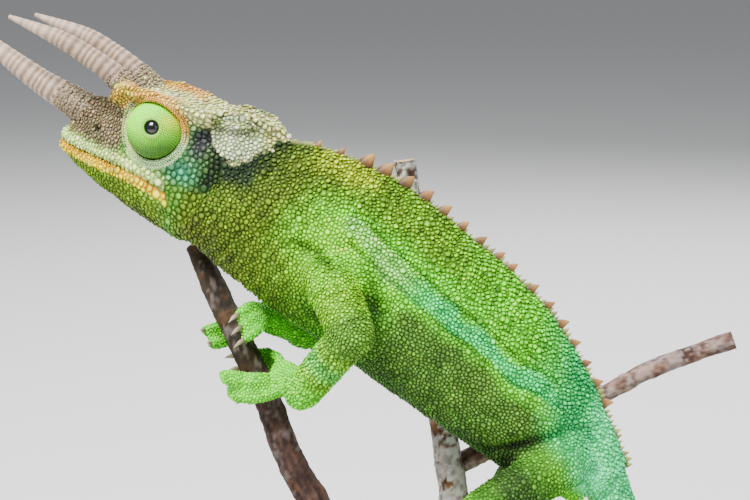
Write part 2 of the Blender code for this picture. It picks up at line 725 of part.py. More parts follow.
def stem(name, points, radii, grow=0.0, rings=11):
    """Cut stem with flat ends."""
    path, sizes = resample(points, [radius + grow for radius in radii], rings)
    path[0] = path[0] + (path[0] - path[1]).normalized() * grow
    path[-1] = path[-1] + (path[-1] - path[-2]).normalized() * grow
    return loft(name, tube_rings(path, sizes, STEM_SIDES, Vector((0.0, 1.0, 0.0))))


def build_perch():
    """The three cut lengths of branch that the feet hold."""
    publish(stem("perch_front_stem", FRONT_STEM, FRONT_RADII), "bark", FRONT_STEM[0])
    rear = stem("perch_rear_stem", REAR_STEM, REAR_RADII)
    branch = stem("perch_side_branch", SIDE_BRANCH, SIDE_RADII)
    carve(branch, stem("rear_space", REAR_STEM, REAR_RADII, GAP))
    publish(rear, "bark", REAR_STEM[0])
    publish(branch, "bark", SIDE_BRANCH[0])


def build_base():
    """Flat base with softened top edges, its underside centred on the origin."""
    def build(bm):
        bmesh.ops.create_cube(bm, size=1.0)
        bmesh.ops.transform(bm, matrix=Matrix.Diagonal((BASE_LENGTH, BASE_DEPTH, BASE_HEIGHT, 1.0)), verts=bm.verts)
        bmesh.ops.translate(bm, vec=(0.0, 0.0, BASE_HEIGHT / 2.0), verts=bm.verts)
        top = [edge for edge in bm.edges if any(vert.co.z > BASE_HEIGHT / 2.0 for vert in edge.verts)]
        bmesh.ops.bevel(bm, geom=top, offset=BASE_BEVEL, segments=2, profile=0.5, affect="EDGES")
    publish(new_object("stand_base", build), "wood", Vector((0.0, 0.0, 0.0)))


def build_rod(name, foot, top):
    """Upright rod from the base to the cut lower end of a stem."""
    bottom = Vector((foot.x, foot.y, BASE_HEIGHT + GAP))
    ring_at = [bottom, Vector((foot.x, foot.y, top))]
    rings = []
    for centre in ring_at:
        ring = []
        for side in range(ROD_SIDES):
            angle = math.tau * side / ROD_SIDES
            ring.append(centre + Vector((math.cos(angle), math.sin(angle), 0.0)) * ROD_RADIUS)
        rings.append(ring)
    return loft(name, rings)


def build_stand():
    """Base and two rods; each rod top stops a gap below the stem it carries."""
    build_base()
    for name, points, radii in (("stand_rod_front", FRONT_STEM, FRONT_RADII), ("stand_rod_rear", REAR_STEM, REAR_RADII)):
        rod = build_rod(name, points[0], points[0].z + 2.0)
        carve(rod, stem("stem_space", points, radii, GAP))
        publish(rod, "steel", Vector((points[0].x, points[0].y, BASE_HEIGHT)))


def main():
    """Build every node."""
    for old in list(bpy.data.objects):
        bpy.data.objects.remove(old, do_unlink=True)
    build_head()
    build_trunk()
    build_tail()
    build_limbs()
    build_perch()
    build_stand()


main()
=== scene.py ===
"""Dressed model of an adult male Jackson's chameleon on two cut stems with a display stand.

Lengths inside the classes are millimetres in the row frame: the animal faces -X, its left side is -Y and
Z is up. Meshes are written in metres. A coat is an array of dark and bright colours, one pair for each place.
"""
import itertools
import logging
import math
from dataclasses import dataclass, field
from enum import Enum

import bmesh
import bpy
import numpy as np
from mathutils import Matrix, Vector
from mathutils.bvhtree import BVHTree


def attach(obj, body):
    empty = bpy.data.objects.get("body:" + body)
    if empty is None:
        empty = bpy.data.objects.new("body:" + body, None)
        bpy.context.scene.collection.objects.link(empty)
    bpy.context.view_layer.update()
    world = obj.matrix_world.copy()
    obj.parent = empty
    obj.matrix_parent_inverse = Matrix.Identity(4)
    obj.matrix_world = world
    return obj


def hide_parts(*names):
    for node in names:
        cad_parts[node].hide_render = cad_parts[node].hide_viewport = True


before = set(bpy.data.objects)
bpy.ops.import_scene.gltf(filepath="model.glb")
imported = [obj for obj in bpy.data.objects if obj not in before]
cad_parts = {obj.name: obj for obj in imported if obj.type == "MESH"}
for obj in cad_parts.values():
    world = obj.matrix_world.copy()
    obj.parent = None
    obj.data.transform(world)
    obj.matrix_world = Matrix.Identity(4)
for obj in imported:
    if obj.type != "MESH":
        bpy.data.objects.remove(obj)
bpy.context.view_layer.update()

LOG = logging.getLogger("chameleon")
MM = 0.001
BLOCK = 20000
UP_HINT = (0.0, 1.0, 0.2)
join = np.concatenate
Array = np.ndarray
Body = bpy.types.Object
Colour = tuple[float, float, float]
PIECES: list[Body] = []


# Numbers

def smooth(low: float, high: float, value: Array) -> Array:
    """Smooth step from 0 at low to 1 at high; low may be above high."""
    t = np.clip((value - low) / (high - low), 0, 1)
    return t * t * (3 - 2 * t)


def band(value: Array, low: float, start: float, end: float, high: float) -> Array:
    """1 between start and end, smoothly down to 0 at low and high."""
    return smooth(low, start, value) * smooth(high, end, value)


def hill(distance: Array, width: float) -> Array:
    """Bell of height 1 that falls off over width."""
    return np.exp(-((distance / width) ** 2))


def ripples(phase: Array) -> Array:
    """Narrow ridges from 0 to 1, one for each full turn of the phase."""
    return (0.5 - 0.5 * np.cos(phase)) ** 3


def turns(count: int) -> Array:
    """Evenly spread angles of one full turn."""
    return np.arange(count) * math.tau / count


def unit(vectors: Array) -> Array:
    """Rows scaled to length 1."""
    return vectors / np.maximum(np.linalg.norm(vectors, axis=-1, keepdims=True), 1e-9)


def dots(first: Array, second: Array) -> Array:
    """Dot product of each row with its partner."""
    return (first * second).sum(axis=1)


def ahead_of(path: Array) -> Array:
    """Direction of a path at each of its points."""
    return unit(np.gradient(path, axis=0))


def travel(path: Array) -> Array:
    """Length travelled at each point of a path."""
    return join([[0], np.cumsum(np.linalg.norm(np.diff(path, axis=0), axis=1))])


def blocks(count: int) -> list[Array]:
    """Row numbers in blocks that are small enough for wide tables."""
    return np.array_split(np.arange(count), count // BLOCK + 1)


def lumps(points: Array, size: float, seed: int = 0) -> Array:
    """Smooth random lumps in space.

    Args:
        points: Places.
        size: Typical width of a lump.
        seed: Which pattern.

    Returns:
        One value between -1 and 1 for each place.
    """
    scaled = points / size + seed * 17.31
    cell = np.floor(scaled).astype(np.int64)
    share = scaled - cell
    share = share * share * (3 - 2 * share)
    total = np.zeros(len(points))
    for corner in itertools.product((0, 1), repeat=3):
        spot = cell + corner
        mixed = (spot[:, 0] * 73856093) ^ (spot[:, 1] * 19349663) ^ (spot[:, 2] * 83492791)
        mixed = (mixed * (mixed * mixed * 15731 + 789221) + 1376312589) & 0x7FFFFFFF
        weight = np.prod(np.where(np.array(corner) == 1, share, 1.0 - share), axis=1)
        total += weight * (mixed / 2 ** 30 - 1)
    return total


def mix(first: Array | Colour, second: Array | Colour, share: Array | float) -> Array:
    """Rows of first moved towards second by a share for each row."""
    share = np.asarray(share)[..., None]
    return np.asarray(first) * (1 - share) + np.asarray(second) * share


def segment_distance(points: Array, start: Array, end: Array) -> tuple[Array, Array]:
    """Distance from points to a segment and the share along it of the nearest place.

    Args:
        points: Places.
        start: One end.
        end: Other end.

    Returns:
        Distances and shares.
    """
    along = end - start
    share = np.clip(((points - start) @ along) / (along @ along), 0, 1)
    return np.linalg.norm(points - start - share[:, None] * along, axis=1), share


def path_distance(points: Array, path: Array) -> tuple[Array, Array]:
    """Distance to a bent path.

    Args:
        points: Places.
        path: Corners of the path.

    Returns:
        Distances, and the fractional number of the nearest corner.
    """
    best, where = np.full(len(points), 1e9), np.zeros(len(points))
    for index in range(len(path) - 1):
        distance, share = segment_distance(points, path[index], path[index + 1])
        where = np.where(distance < best, index + share, where)
        best = np.minimum(best, distance)
    return best, where


def catmull(points: tuple | Array, count: int) -> Array:
    """Smooth path through points.

    Args:
        points: Places or rows of values.
        count: How many rows the path gets.

    Returns:
        The path.
    """
    points = np.array(points)
    last = len(points) - 1
    place = np.linspace(0, last, count)
    index = np.minimum(place.astype(int), last - 1)
    t = (place - index)[:, None]
    p0, p1 = points[np.maximum(index - 1, 0)], points[index]
    p2, p3 = points[index + 1], points[np.minimum(index + 2, last)]
    bend = 2 * p0 - 5 * p1 + 4 * p2 - p3
    return 0.5 * (2 * p1 + (p2 - p0) * t + bend * t ** 2 + (3 * p1 - p0 - 3 * p2 + p3) * t ** 3)


# Finishes

@dataclass(frozen=True)
class Value:
    """A shader socket that takes part in Python arithmetic by adding Math nodes."""

    recipe: "Recipe"
    socket: bpy.types.NodeSocket

    def __add__(self, other: float) -> "Value":
        """Sum."""
        return self.recipe.node("ShaderNodeMath", {"operation": "ADD"}, {0: self, 1: other})

    def __mul__(self, other: float) -> "Value":
        """Product."""
        return self.recipe.node("ShaderNodeMath", {"operation": "MULTIPLY"}, {0: self, 1: other})

    def step(self, low: float, high: float) -> "Value":
        """0 below low and 1 above high, smooth between."""
        return self.recipe.node("ShaderNodeMapRange", {"interpolation_type": "SMOOTHSTEP"},
                                {"Value": self, "From Min": low, "From Max": high})


class Recipe:
    """One material under construction."""

    def __init__(self, name: str, **steady: float | tuple) -> None:
        """Start a Principled material with its steady values, an underline in a name standing for a space.

        Args:
            name: Name of the material.
            steady: Sockets with one value.
        """
        self.material = bpy.data.materials.new(name)
        self.material.use_nodes = True
        self.tree = self.material.node_tree
        self.shader = self.tree.nodes["Principled BSDF"]
        for socket, value in steady.items():
            self.shader.inputs[socket.replace("_", " ")].default_value = value

    def node(self, kind: str, settings: dict, inputs: dict, output: int | str = 0) -> Value:
        """Add a node.

        Args:
            kind: Blender's node type.
            settings: Properties set first.
            inputs: Values or links by socket name or number.
            output: Which output to hand on.

        Returns:
            The chosen output.
        """
        made = self.tree.nodes.new(kind)
        for name, value in settings.items():
            setattr(made, name, value)
        for key, value in inputs.items():
            if isinstance(value, Value):
                self.tree.links.new(value.socket, made.inputs[key])
            else:
                made.inputs[key].default_value = value
        return Value(self, made.outputs[output])

    def place(self) -> Value:
        """Object coordinates."""
        return self.node("ShaderNodeTexCoord", {}, {}, "Object")

    def noise(self, size: float) -> Value:
        """Noise whose features are about size millimetres wide."""
        return self.node("ShaderNodeTexNoise", {}, {"Vector": self.place(), "Scale": 1 / (size * MM), "Detail": 3})

    def blend(self, share: Value, first: Colour, second: Colour) -> Value:
        """Colour mix."""
        return self.node("ShaderNodeMix", {"data_type": "RGBA"}, {0: share, 6: (*first, 1), 7: (*second, 1)}, 2)

    def feed(self, socket: str, value: Value) -> None:
        """Link a value to the Principled shader."""
        self.tree.links.new(value.socket, self.shader.inputs[socket])

    def bump(self, height: Value, depth: float) -> None:
        """Surface relief from a height between 0 and 1, depth in millimetres."""
        self.feed("Normal", self.node("ShaderNodeBump", {}, {"Height": height, "Distance": depth * MM}, "Normal"))


@dataclass(frozen=True)
class PaintedFinish:
    """Finish that reads its colour from the mesh's paint attribute, with a fine grain."""

    name: str
    roughness: float = 0.5
    grain: float = 0.3
    grain_depth: float = 0.02
    specular: float = 0.4

    def material(self) -> bpy.types.Material:
        """Build the material.

        Returns:
            The material.
        """
        recipe = Recipe(self.name, Roughness=self.roughness, Specular_IOR_Level=self.specular)
        grain = recipe.noise(self.grain)
        paint = recipe.node("ShaderNodeAttribute", {"attribute_name": "paint"}, {}, "Color")
        recipe.feed("Base Color", paint)
        recipe.feed("Roughness", grain * 0.2 + (self.roughness - 0.1))
        recipe.bump(grain, self.grain_depth)
        return recipe.material


@dataclass(frozen=True)
class PlainFinish:
    """Finish of one colour: a gloss, a metal or a matt floor."""

    name: str
    colour: Colour
    roughness: float
    specular: float = 0.5
    coat: float = 0.0
    metal: float = 0.0
    brushing: float = 0.0

    def material(self) -> bpy.types.Material:
        """Build the material.

        Returns:
            The material.
        """
        recipe = Recipe(self.name, Base_Color=(*self.colour, 1), Roughness=self.roughness, Metallic=self.metal,
                        Specular_IOR_Level=self.specular, Coat_Weight=self.coat)
        if self.brushing:
            recipe.feed("Roughness", recipe.noise(0.6) * self.brushing + (self.roughness - self.brushing / 3))
        return recipe.material


@dataclass(frozen=True)
class WoodFinish:
    """Dark satin wood of the stand's base, its grain along X."""

    name: str = "base_wood"

    def material(self) -> bpy.types.Material:
        """Build the material.

        Returns:
            The material.
        """
        recipe = Recipe(self.name, Roughness=0.38)
        stretched = recipe.node("ShaderNodeMapping", {}, {"Vector": recipe.place(), "Scale": (60, 900, 900)})
        grain = recipe.node("ShaderNodeTexNoise", {}, {"Vector": stretched, "Scale": 1, "Detail": 5})
        recipe.feed("Base Color", recipe.blend(grain.step(0.35, 0.7), (0.055, 0.027, 0.014), (0.11, 0.058, 0.03)))
        recipe.bump(grain, 0.05)
        return recipe.material


@dataclass(frozen=True)
class LichenFinish:
    """Powdery pale lichen."""

    name: str

    def material(self) -> bpy.types.Material:
        """Build the material.

        Returns:
            The material.
        """
        recipe = Recipe(self.name, Roughness=0.85, Specular_IOR_Level=0.2)
        share = recipe.noise(1.6)
        recipe.feed("Base Color", recipe.blend(share.step(0.35, 0.65), (0.3, 0.27, 0.24), (0.5, 0.47, 0.43)))
        recipe.bump(recipe.noise(0.25), 0.06)
        return recipe.material


Finish = PaintedFinish | PlainFinish | WoodFinish | LichenFinish


# Meshes

def link(name: str, mesh: bpy.types.Mesh) -> Body:
    """New object in the scene.

    Args:
        name: Name of the object.
        mesh: Its mesh.

    Returns:
        The object.
    """
    body = bpy.data.objects.new(name, mesh)
    bpy.context.scene.collection.objects.link(body)
    return body


def write_mesh(name: str, points: Array, faces: list[Array], paint: Array | None = None,
               uv: Array | None = None) -> Body:
    """Object from arrays.

    Args:
        name: Name of the object.
        points: Corners in millimetres.
        faces: Arrays of corner numbers, one array for each face size.
        paint: Colour for each corner.
        uv: Place on the OFBake map for each corner.

    Returns:
        The linked object.
    """
    mesh = bpy.data.meshes.new(name)
    sizes = join([np.full(len(block), block.shape[1]) for block in faces])
    corners = join([block.ravel() for block in faces])
    mesh.vertices.add(len(points))
    mesh.vertices.foreach_set("co", (points * MM).astype(np.float32).ravel())
    mesh.loops.add(len(corners))
    mesh.loops.foreach_set("vertex_index", corners.astype(np.int32))
    mesh.polygons.add(len(sizes))
    mesh.polygons.foreach_set("loop_start", (np.cumsum(sizes) - sizes).astype(np.int32))
    mesh.polygons.foreach_set("use_smooth", np.ones(len(sizes), bool))
    if paint is not None:
        colours = np.column_stack([np.clip(paint, 0, 1), np.ones(len(points))]).astype(np.float32)
        mesh.attributes.new("paint", "FLOAT_COLOR", "POINT").data.foreach_set("color", colours.ravel())
    if uv is not None:
        mesh.uv_layers.new(name="OFBake").data.foreach_set("uv", uv[corners].astype(np.float32).ravel())
    mesh.update(calc_edges=True)
    mesh.validate()
    return link(name, mesh)


def tidy(body: Body) -> Body:
    """Merge doubled corners, drop flat faces and turn all faces outward.

    Args:
        body: Object to change.

    Returns:
        The same object.
    """
    work = bmesh.new()
    work.from_mesh(body.data)
    bmesh.ops.remove_doubles(work, verts=work.verts, dist=2e-6)
    bmesh.ops.dissolve_degenerate(work, edges=work.edges, dist=1e-7)
    bmesh.ops.recalc_face_normals(work, faces=work.faces)
    work.to_mesh(body.data)
    work.free()
    return body


def settle(body: Body, finish: Finish | None, slot: str, *nodes: str) -> None:
    """Give a piece its finish, parent it to the root and note it, hiding the CAD nodes that it stands in for.

    Args:
        body: The piece.
        finish: Its finish, unless it has one.
        slot: Name of its slot; not used.
        nodes: CAD nodes that it stands in for.
    """
    if finish:
        body.data.materials.append(bpy.data.materials.get(finish.name) or finish.material())
    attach(body, "root")
    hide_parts(*nodes)
    PIECES.append(body)


def ring_quads(rings: int, sides: int, closed: bool = False) -> Array:
    """Faces between rings of corners.

    Args:
        rings: Number of rings.
        sides: Corners in each ring.
        closed: Whether the last ring joins the first.

    Returns:
        Corner numbers of the quads.
    """
    grid = np.arange(rings * sides).reshape(rings, sides)
    grid = join([grid, grid[:1]]) if closed else grid
    after = np.roll(grid, -1, axis=1)
    return np.stack([grid[:-1], after[:-1], after[1:], grid[1:]], axis=-1).reshape(-1, 4)


def ring_caps(rings: int, sides: int) -> Array:
    """Triangles from the first and last ring to the two end corners that follow the rings' own.

    Args:
        rings: Number of rings.
        sides: Corners of a ring.

    Returns:
        Corner numbers of the triangles.
    """
    ring, last, total = np.arange(sides), (rings - 1) * sides, rings * sides
    after = np.roll(ring, -1)
    return join([np.stack([after, ring, np.full(sides, total)], axis=1),
                 np.stack([ring + last, after + last, np.full(sides, total + 1)], axis=1)])


def to_corners(values: Array, sides: int) -> Array:
    """Values of a tube's rings repeated for its corners, those of its two end corners last."""
    return join([np.repeat(values, sides, axis=0), values[[0, -1]]])


def tube(path: Array, radii: Array, sides: int) -> tuple[Array, list[Array]]:
    """Closed round tube along a path.

    Args:
        path: Centres.
        radii: Radius at each centre and around it, shape (rings, sides) or (rings,).
        sides: Corners in each ring.

    Returns:
        Corners and faces.
    """
    ahead = ahead_of(path)
    across = np.zeros_like(path)
    current = unit(np.cross(ahead[0], UP_HINT))
    for index, direction in enumerate(ahead):
        current = unit(current - direction * (current @ direction))
        across[index] = current
    angle = turns(sides)[None, :, None]
    out = across[:, None] * np.cos(angle) + np.cross(ahead, across)[:, None] * np.sin(angle)
    radii = radii[:, None] * np.ones(sides) if radii.ndim == 1 else radii
    points = (path[:, None] + out * radii[:, :, None]).reshape(-1, 3)
    return join([points, path[[0, -1]]]), [ring_quads(len(path), sides), ring_caps(len(path), sides)]


def add_rows(target: Array, rows: Array, values: Array) -> None:
    """Add values to rows of the target, where a row may come up often."""
    for axis in range(3):
        target[:, axis] += np.bincount(rows, values[:, axis], len(target))


def corner_normals(points: Array, quads: Array) -> Array:
    """Smooth outward direction at each corner of a quad mesh.

    Args:
        points: Corners.
        quads: Faces.

    Returns:
        One direction for each corner.
    """
    a, b, c, d = points[quads.T]
    face = np.cross(c - a, d - b)
    total = np.zeros_like(points)
    for k in range(4):
        add_rows(total, quads[:, k], face)
    return unit(total)


def near_pairs(points: Array, reach: float) -> tuple[Array, Array, Array]:
    """Ordered pairs of points closer than reach.

    Args:
        points: Places.
        reach: Greatest distance of a pair.

    Returns:
        First numbers in rising order, second numbers and distances.
    """
    cell = np.floor((points - points.min(axis=0)) / reach).astype(np.int64) + 1
    width = int(cell.max()) + 3
    key = (cell[:, 0] * width + cell[:, 1]) * width + cell[:, 2]
    order = np.argsort(key, kind="stable")
    ranked = key[order]
    found = []
    for dx, dy, dz in itertools.product((-1, 0, 1), repeat=3):
        wanted = key + (dx * width + dy) * width + dz
        low, high = (np.searchsorted(ranked, wanted, side) for side in ("left", "right"))
        count = high - low
        first = np.repeat(np.arange(len(points)), count)
        offset = np.arange(count.sum()) - np.repeat(np.cumsum(count) - count, count)
        second = order[np.repeat(low, count) + offset]
        gap = np.linalg.norm(points[first] - points[second], axis=1)
        keep = (gap < reach) & (first != second)
        found.append((first[keep], second[keep], gap[keep]))
    first, second, gap = (join(block) for block in zip(*found))
    rank = np.argsort(first, kind="stable")
    return first[rank], second[rank], gap[rank]


# Anatomy

class Region(Enum):
    """Groups of CAD nodes that share a coat."""

    HEAD = (("head", "lower_jaw"), 10, 1.0, 1.0)
    NECK = (("neck",), 50, 0.88, 1.0)
    TRUNK = (("trunk_front", "trunk_rear"), 90, 0.82, 1.0)
    TAIL = (("tail_1", "tail_2", "tail_3", "tail_4", "tail_5"), 40, 0.84, 1.25)
    FORELEGS = (("upper_fore_left", "lower_fore_left", "upper_fore_right", "lower_fore_right"), 24, 0.76, 1.3)
    HINDLEGS = (("upper_hind_left", "lower_hind_left", "upper_hind_right", "lower_hind_right"), 24, 0.82, 1.25)
    FEET = (("foot_fore_left", "foot_fore_right", "foot_hind_left", "foot_hind_right"), 7, 0.7, 1.0)

    def __init__(self, nodes: tuple, rounds: int, width: float, packing: float) -> None:
        """Keep nodes, rounds of smoothing, width of scales and how much closer they stand along the lie."""
        self.nodes, self.rounds, self.width, self.packing = nodes, rounds, width, packing


FLESH = [name for region in Region for name in region.nodes]


def region_values(node: Array, label: str) -> Array:
    """What each flesh node's region says under a label, as decimals."""
    return np.array([getattr(region, label) for region in Region for _ in region.nodes], float)[node]


def within(node: Array, *regions: Region) -> Array:
    """Whether each flesh node belongs to one of the regions."""
    return np.isin(node, [FLESH.index(name) for region in regions for name in region.nodes])


def on_body(node: Array) -> Array:
    """Whether each flesh node is neck or trunk."""
    return within(node, Region.NECK, Region.TRUNK)


class Side(Enum):
    """Left or right of the animal, as a sign on its left axis."""

    LEFT = 1
    RIGHT = -1


@dataclass
class Anatomy:
    """Coordinates along the body, in the head and along the limbs."""

    head_centre: tuple = (-46.3, 6.7, 144.1)
    head_yaw: float = 16.0
    head_pitch: float = 21.0
    eye_out: float = 7.4
    stations: tuple = (
        (-37.4, 132.6, 11.4, 50.0), (-31.9, 131.3, 14.4, 48.0), (-24.5, 127.7, 16.5, 50.4), (-16.4, 123.1, 17.9, 50.9),
        (-7.1, 116.9, 18.2, 52.9), (1.5, 110.4, 18.0, 54.4), (10.0, 103.7, 17.7, 55.8), (17.7, 97.3, 17.0, 56.2),
        (24.1, 91.6, 15.7, 56.5), (29.2, 85.8, 13.9, 56.6), (34.4, 80.4, 11.8, 55.7), (38.5, 75.1, 8.8, 48.2),
        (42.1, 70.0, 6.5, 29.9))
    tail_base: tuple = (44.3, -0.2, 66.3)
    coil_centre: tuple = (35.5, -1.0, 39.5)
    coil_outer: float = 18.0
    coil_inner: float = 2.8
    coil_turns: float = 1.7
    coil_shift: float = 3.0
    tail_drop: float = 0.16
    tail_radii: tuple = (4.9, 0.9)
    limbs: dict = field(default_factory=lambda: {name: np.array(places) for name, places in (
        ("fore_left", ((-14.5, -6.2, 116.6), (-9.4, -14.6, 106.0), (-19.4, -9.2, 93.2))),
        ("fore_right", ((-16.5, 6.4, 113.6), (-9.0, 13.6, 101.0), (-19.6, 9.6, 101.2))),
        ("hind_left", ((33.5, -4.9, 77.5), (15.8, -12.4, 69.6), (19.0, 3.2, 59.5))),
        ("hind_right", ((32.8, 5.4, 77.0), (24.6, 20.0, 65.0), (23.2, 17.4, 48.6))))})
    horns: dict = field(default_factory=lambda: {
        "horn_nose": (((15.2, 0.0, -4.2), (22.0, 0.0, -3.2), (29.7, 0.0, -2.1), (40.1, 0.0, 0.3), (48.6, 0.0, 3.0)),
                      (3.5, 3.2, 2.7, 1.9, 0.5)),
        **{f"horn_{name}": (((5.4, 4.9 * side, 3.2), (11.5, 5.3 * side, 6.1), (18.4, 5.7 * side, 7.9),
                             (26.0, 6.1 * side, 9.0), (37.6, 5.6 * side, 8.9)), (2.8, 2.5, 2.2, 1.8, 0.45))
           for name, side in (("left", 1), ("right", -1))}})

    def horn_line(self, name: str, count: int = 190) -> tuple[Array, Array, Array]:
        """A horn's centre line.

        Args:
            name: The horn's node.
            count: Number of centres.

        Returns:
            Centres in the row frame, the horn's radii and the length travelled at each centre.
        """
        path, radii = self.horns[name]
        path = self.from_head(catmull(path, count))
        return path, catmull(np.array(radii)[:, None], count)[:, 0], travel(path)

    def head_axes(self) -> Array:
        """Forward, left and up of the head in the row frame.

        Returns:
            One axis a column.
        """
        yaw, pitch = math.radians(self.head_yaw), math.radians(self.head_pitch)
        forward = np.array([-math.cos(yaw) * math.cos(pitch), math.sin(yaw) * math.cos(pitch), math.sin(pitch)])
        left = np.array([-math.sin(yaw), -math.cos(yaw), 0.0])
        return np.stack([forward, left, np.cross(forward, left)], axis=1)

    def to_head(self, points: Array) -> Array:
        """Row frame to head coordinates: forward, left, up."""
        return (points - np.array(self.head_centre)) @ self.head_axes()

    def from_head(self, points: Array | tuple) -> Array:
        """Head coordinates to the row frame."""
        return np.asarray(points) @ self.head_axes().T + np.array(self.head_centre)

    def body(self, points: Array) -> tuple[Array, Array]:
        """Coordinates on neck and trunk.

        Args:
            points: Places.

        Returns:
            Station number along the body, and height across it, -1 at the belly and 1 at the crest.
        """
        table = catmull(self.stations, 241)
        lean = np.radians(table[:, 3])
        rise = np.stack([np.cos(lean), np.sin(lean)], axis=1)
        station, height = np.zeros(len(points)), np.zeros(len(points))
        for rows in blocks(len(points)):
            offset = points[rows][:, None, ::2] - table[None, :, :2]
            best = np.abs(offset[..., 0] * rise[:, 1] - offset[..., 1] * rise[:, 0]).argmin(axis=1)
            station[rows] = best / 20
            height[rows] = dots(offset[np.arange(len(rows)), best], rise[best]) / table[best, 2]
        return station, height

    def tail_path(self, count: int = 400) -> Array:
        """Centres of the tail from base to tip.

        Args:
            count: Number of centres.

        Returns:
            The centres.
        """
        share = np.linspace(0, 1, count)
        centre = np.array(self.coil_centre)
        start = centre + (self.coil_outer, 0, 0)
        t = np.clip(share / self.tail_drop, 0, 1)[:, None]
        drop = np.array(self.tail_base) * (1 - t) + start * t + np.array([4.0, 0.0, -9.0]) * (1 - t) * t * 1.4
        t = np.clip((share - self.tail_drop) / (1 - self.tail_drop), 0, 1)
        eased = 1 - (1 - t) ** 1.35
        angle = -math.tau * self.coil_turns * eased
        radius = self.coil_outer * (1 - eased) + self.coil_inner * eased
        coil = centre + np.stack([np.cos(angle) * radius, -self.coil_shift * t, np.sin(angle) * radius], axis=1)
        return np.where((share < self.tail_drop)[:, None], drop, coil)

    def tail(self, points: Array) -> Array:
        """Share along the tail of the nearest part of its line.

        Args:
            points: Places.

        Returns:
            Shares from 0 at the base to 1 at the tip.
        """
        path, share = self.tail_path(), np.zeros(len(points))
        for rows in blocks(len(points)):
            best = np.linalg.norm(points[rows][:, None] - path[None], axis=2).argmin(axis=1)
            share[rows] = best / (len(path) - 1)
        return share

    def lie(self, points: Array, node: Array) -> Array:
        """Direction in which scales point: back along the body, down the limbs, out to the tail's tip.

        Args:
            points: Places.
            node: Their flesh nodes.

        Returns:
            Directions.
        """
        way = np.tile(np.array([0.66, 0.0, -0.75]), (len(points), 1))
        way[within(node, Region.HEAD)] = -self.head_axes()[:, 0]
        tail, path = within(node, Region.TAIL), self.tail_path()
        way[tail] = ahead_of(path)[np.round(self.tail(points[tail]) * (len(path) - 1)).astype(int)]
        for label, (root, bend, end) in self.limbs.items():
            for part, step in (("upper_", bend - root), ("lower_", end - bend), ("foot_", end - bend)):
                way[node == FLESH.index(part + label)] = unit(step)
        return way


ANIMAL = Anatomy()


# Lines on the skin

SHOULDER_CREASE = ((2.8, -0.13), (3.2, -0.1), (3.8, -0.14), (4.6, -0.26))
THIGH_CREASE = ((8.2, -0.85), (9.1, -0.22), (9.7, 0.29), (10.6, 0.48))
STRIPE = ((3.3, 0.31), (4.5, 0.21), (5.5, 0.18), (6.5, 0.2), (7.7, 0.2), (8.9, 0.4))
MOUTH_LINE = ((-10.6, -26.0), (-9.0, -14.0), (-6.3, -10.6), (-0.6, -9.9), (5.5, -10.1), (11.2, -10.6), (18.3, -11.0),
              (26.0, -10.7))
NOSTRIL = (12.7, -5.2)


def mouth_height(u: Array) -> Array:
    """Height of the line between the lips at a place along the head."""
    return np.interp(u, *zip(*MOUTH_LINE))


def nostril_distance(u: Array, v: Array) -> Array:
    """Distance from the nostril, seen from the side."""
    return np.hypot(u - NOSTRIL[0], v - NOSTRIL[1])


def temple_distance(u: Array, v: Array) -> Array:
    """Distance from the middle of the temple's patch of warts, 1 at its edge."""
    return np.hypot((u + 15.9) / 5.2, (v - 4.7) / 4.2)


def on_flank(station: Array) -> Array:
    """1 on the flank, fading to shoulder and hip."""
    return band(station, 2.6, 4, 8, 9.6)


def stripe_middle(station: Array, wander: Array) -> Array:
    """Height of the flank's stripe."""
    return np.interp(station, *zip(*STRIPE)) + 0.03 * wander


def limb_folds(station: Array, height: Array, width: float) -> Array:
    """Depth, 0 to 1, of the creases above the upper arm and in front of the thigh.

    Args:
        station: Stations.
        height: Heights.
        width: Width of a fold.

    Returns:
        Strength from 0 to 1.
    """
    place = np.stack([station, height * 2], axis=1)
    near = [path_distance(place, np.array(crease) * (1.0, 2.0))[0] for crease in (SHOULDER_CREASE, THIGH_CREASE)]
    return hill(np.minimum(*near), width)


def stripe_lines(station: Array, height: Array, wander: Array) -> Array:
    """Depth, 0 to 1, of the long folds that run with the flank's stripe.

    Args:
        station: Stations.
        height: Heights.
        wander: How far the lines stray.

    Returns:
        Strength from 0 to 1.
    """
    middle = stripe_middle(station, wander)
    lines = [share * hill(height - middle - shift, 0.03)
             for shift, share in ((0.15, 1), (0.02, 0.5), (-0.13, 0.9), (0.28, 0.5))]
    return np.max(lines, axis=0) * on_flank(station)


def crest_grooves(station: Array, height: Array, wander: Array) -> Array:
    """Depth, 0 to 1, of the fine grooves that run down from the crest between rows of scales."""
    phase = (station + 0.15 * height + 0.05 * wander) * math.tau / 0.19
    return ripples(phase) * smooth(0.3, 0.6, height + 0.9 * smooth(8.6, 10.2, station))


def neck_rings(station: Array, height: Array, wander: Array) -> Array:
    """Depth, 0 to 1, of the wrinkles around the neck and over the shoulder."""
    return ripples((station - 0.25 * height + 0.07 * wander) * math.tau / 0.31) * smooth(3.6, 2.4, station)


def tail_rings(share: Array, wander: Array) -> Array:
    """Depth, 0 to 1, of the wrinkles around the tail."""
    return ripples((share * 110 + 0.25 * wander) * math.tau)


def limb_creases(points: Array) -> Array:
    """Depth, 0 to 1, of the fine wrinkles that run around the legs.

    Args:
        points: Places.

    Returns:
        Depths.
    """
    nearest, along = np.full(len(points), 1e9), np.zeros(len(points))
    for root, bend, end in ANIMAL.limbs.values():
        for start, stop in ((root, bend), (bend, end)):
            distance, share = segment_distance(points, start, stop)
            along = np.where(distance < nearest, share * np.linalg.norm(stop - start), along)
            nearest = np.minimum(nearest, distance)
    return ripples((along / 1.6 + 0.3 * lumps(points, 2, 15)) * math.tau)


# Markings

PIGMENT_DEPTH = 1.45
PIGMENT_LIFT = 1.15
PIGMENT_PURITY = 1.12


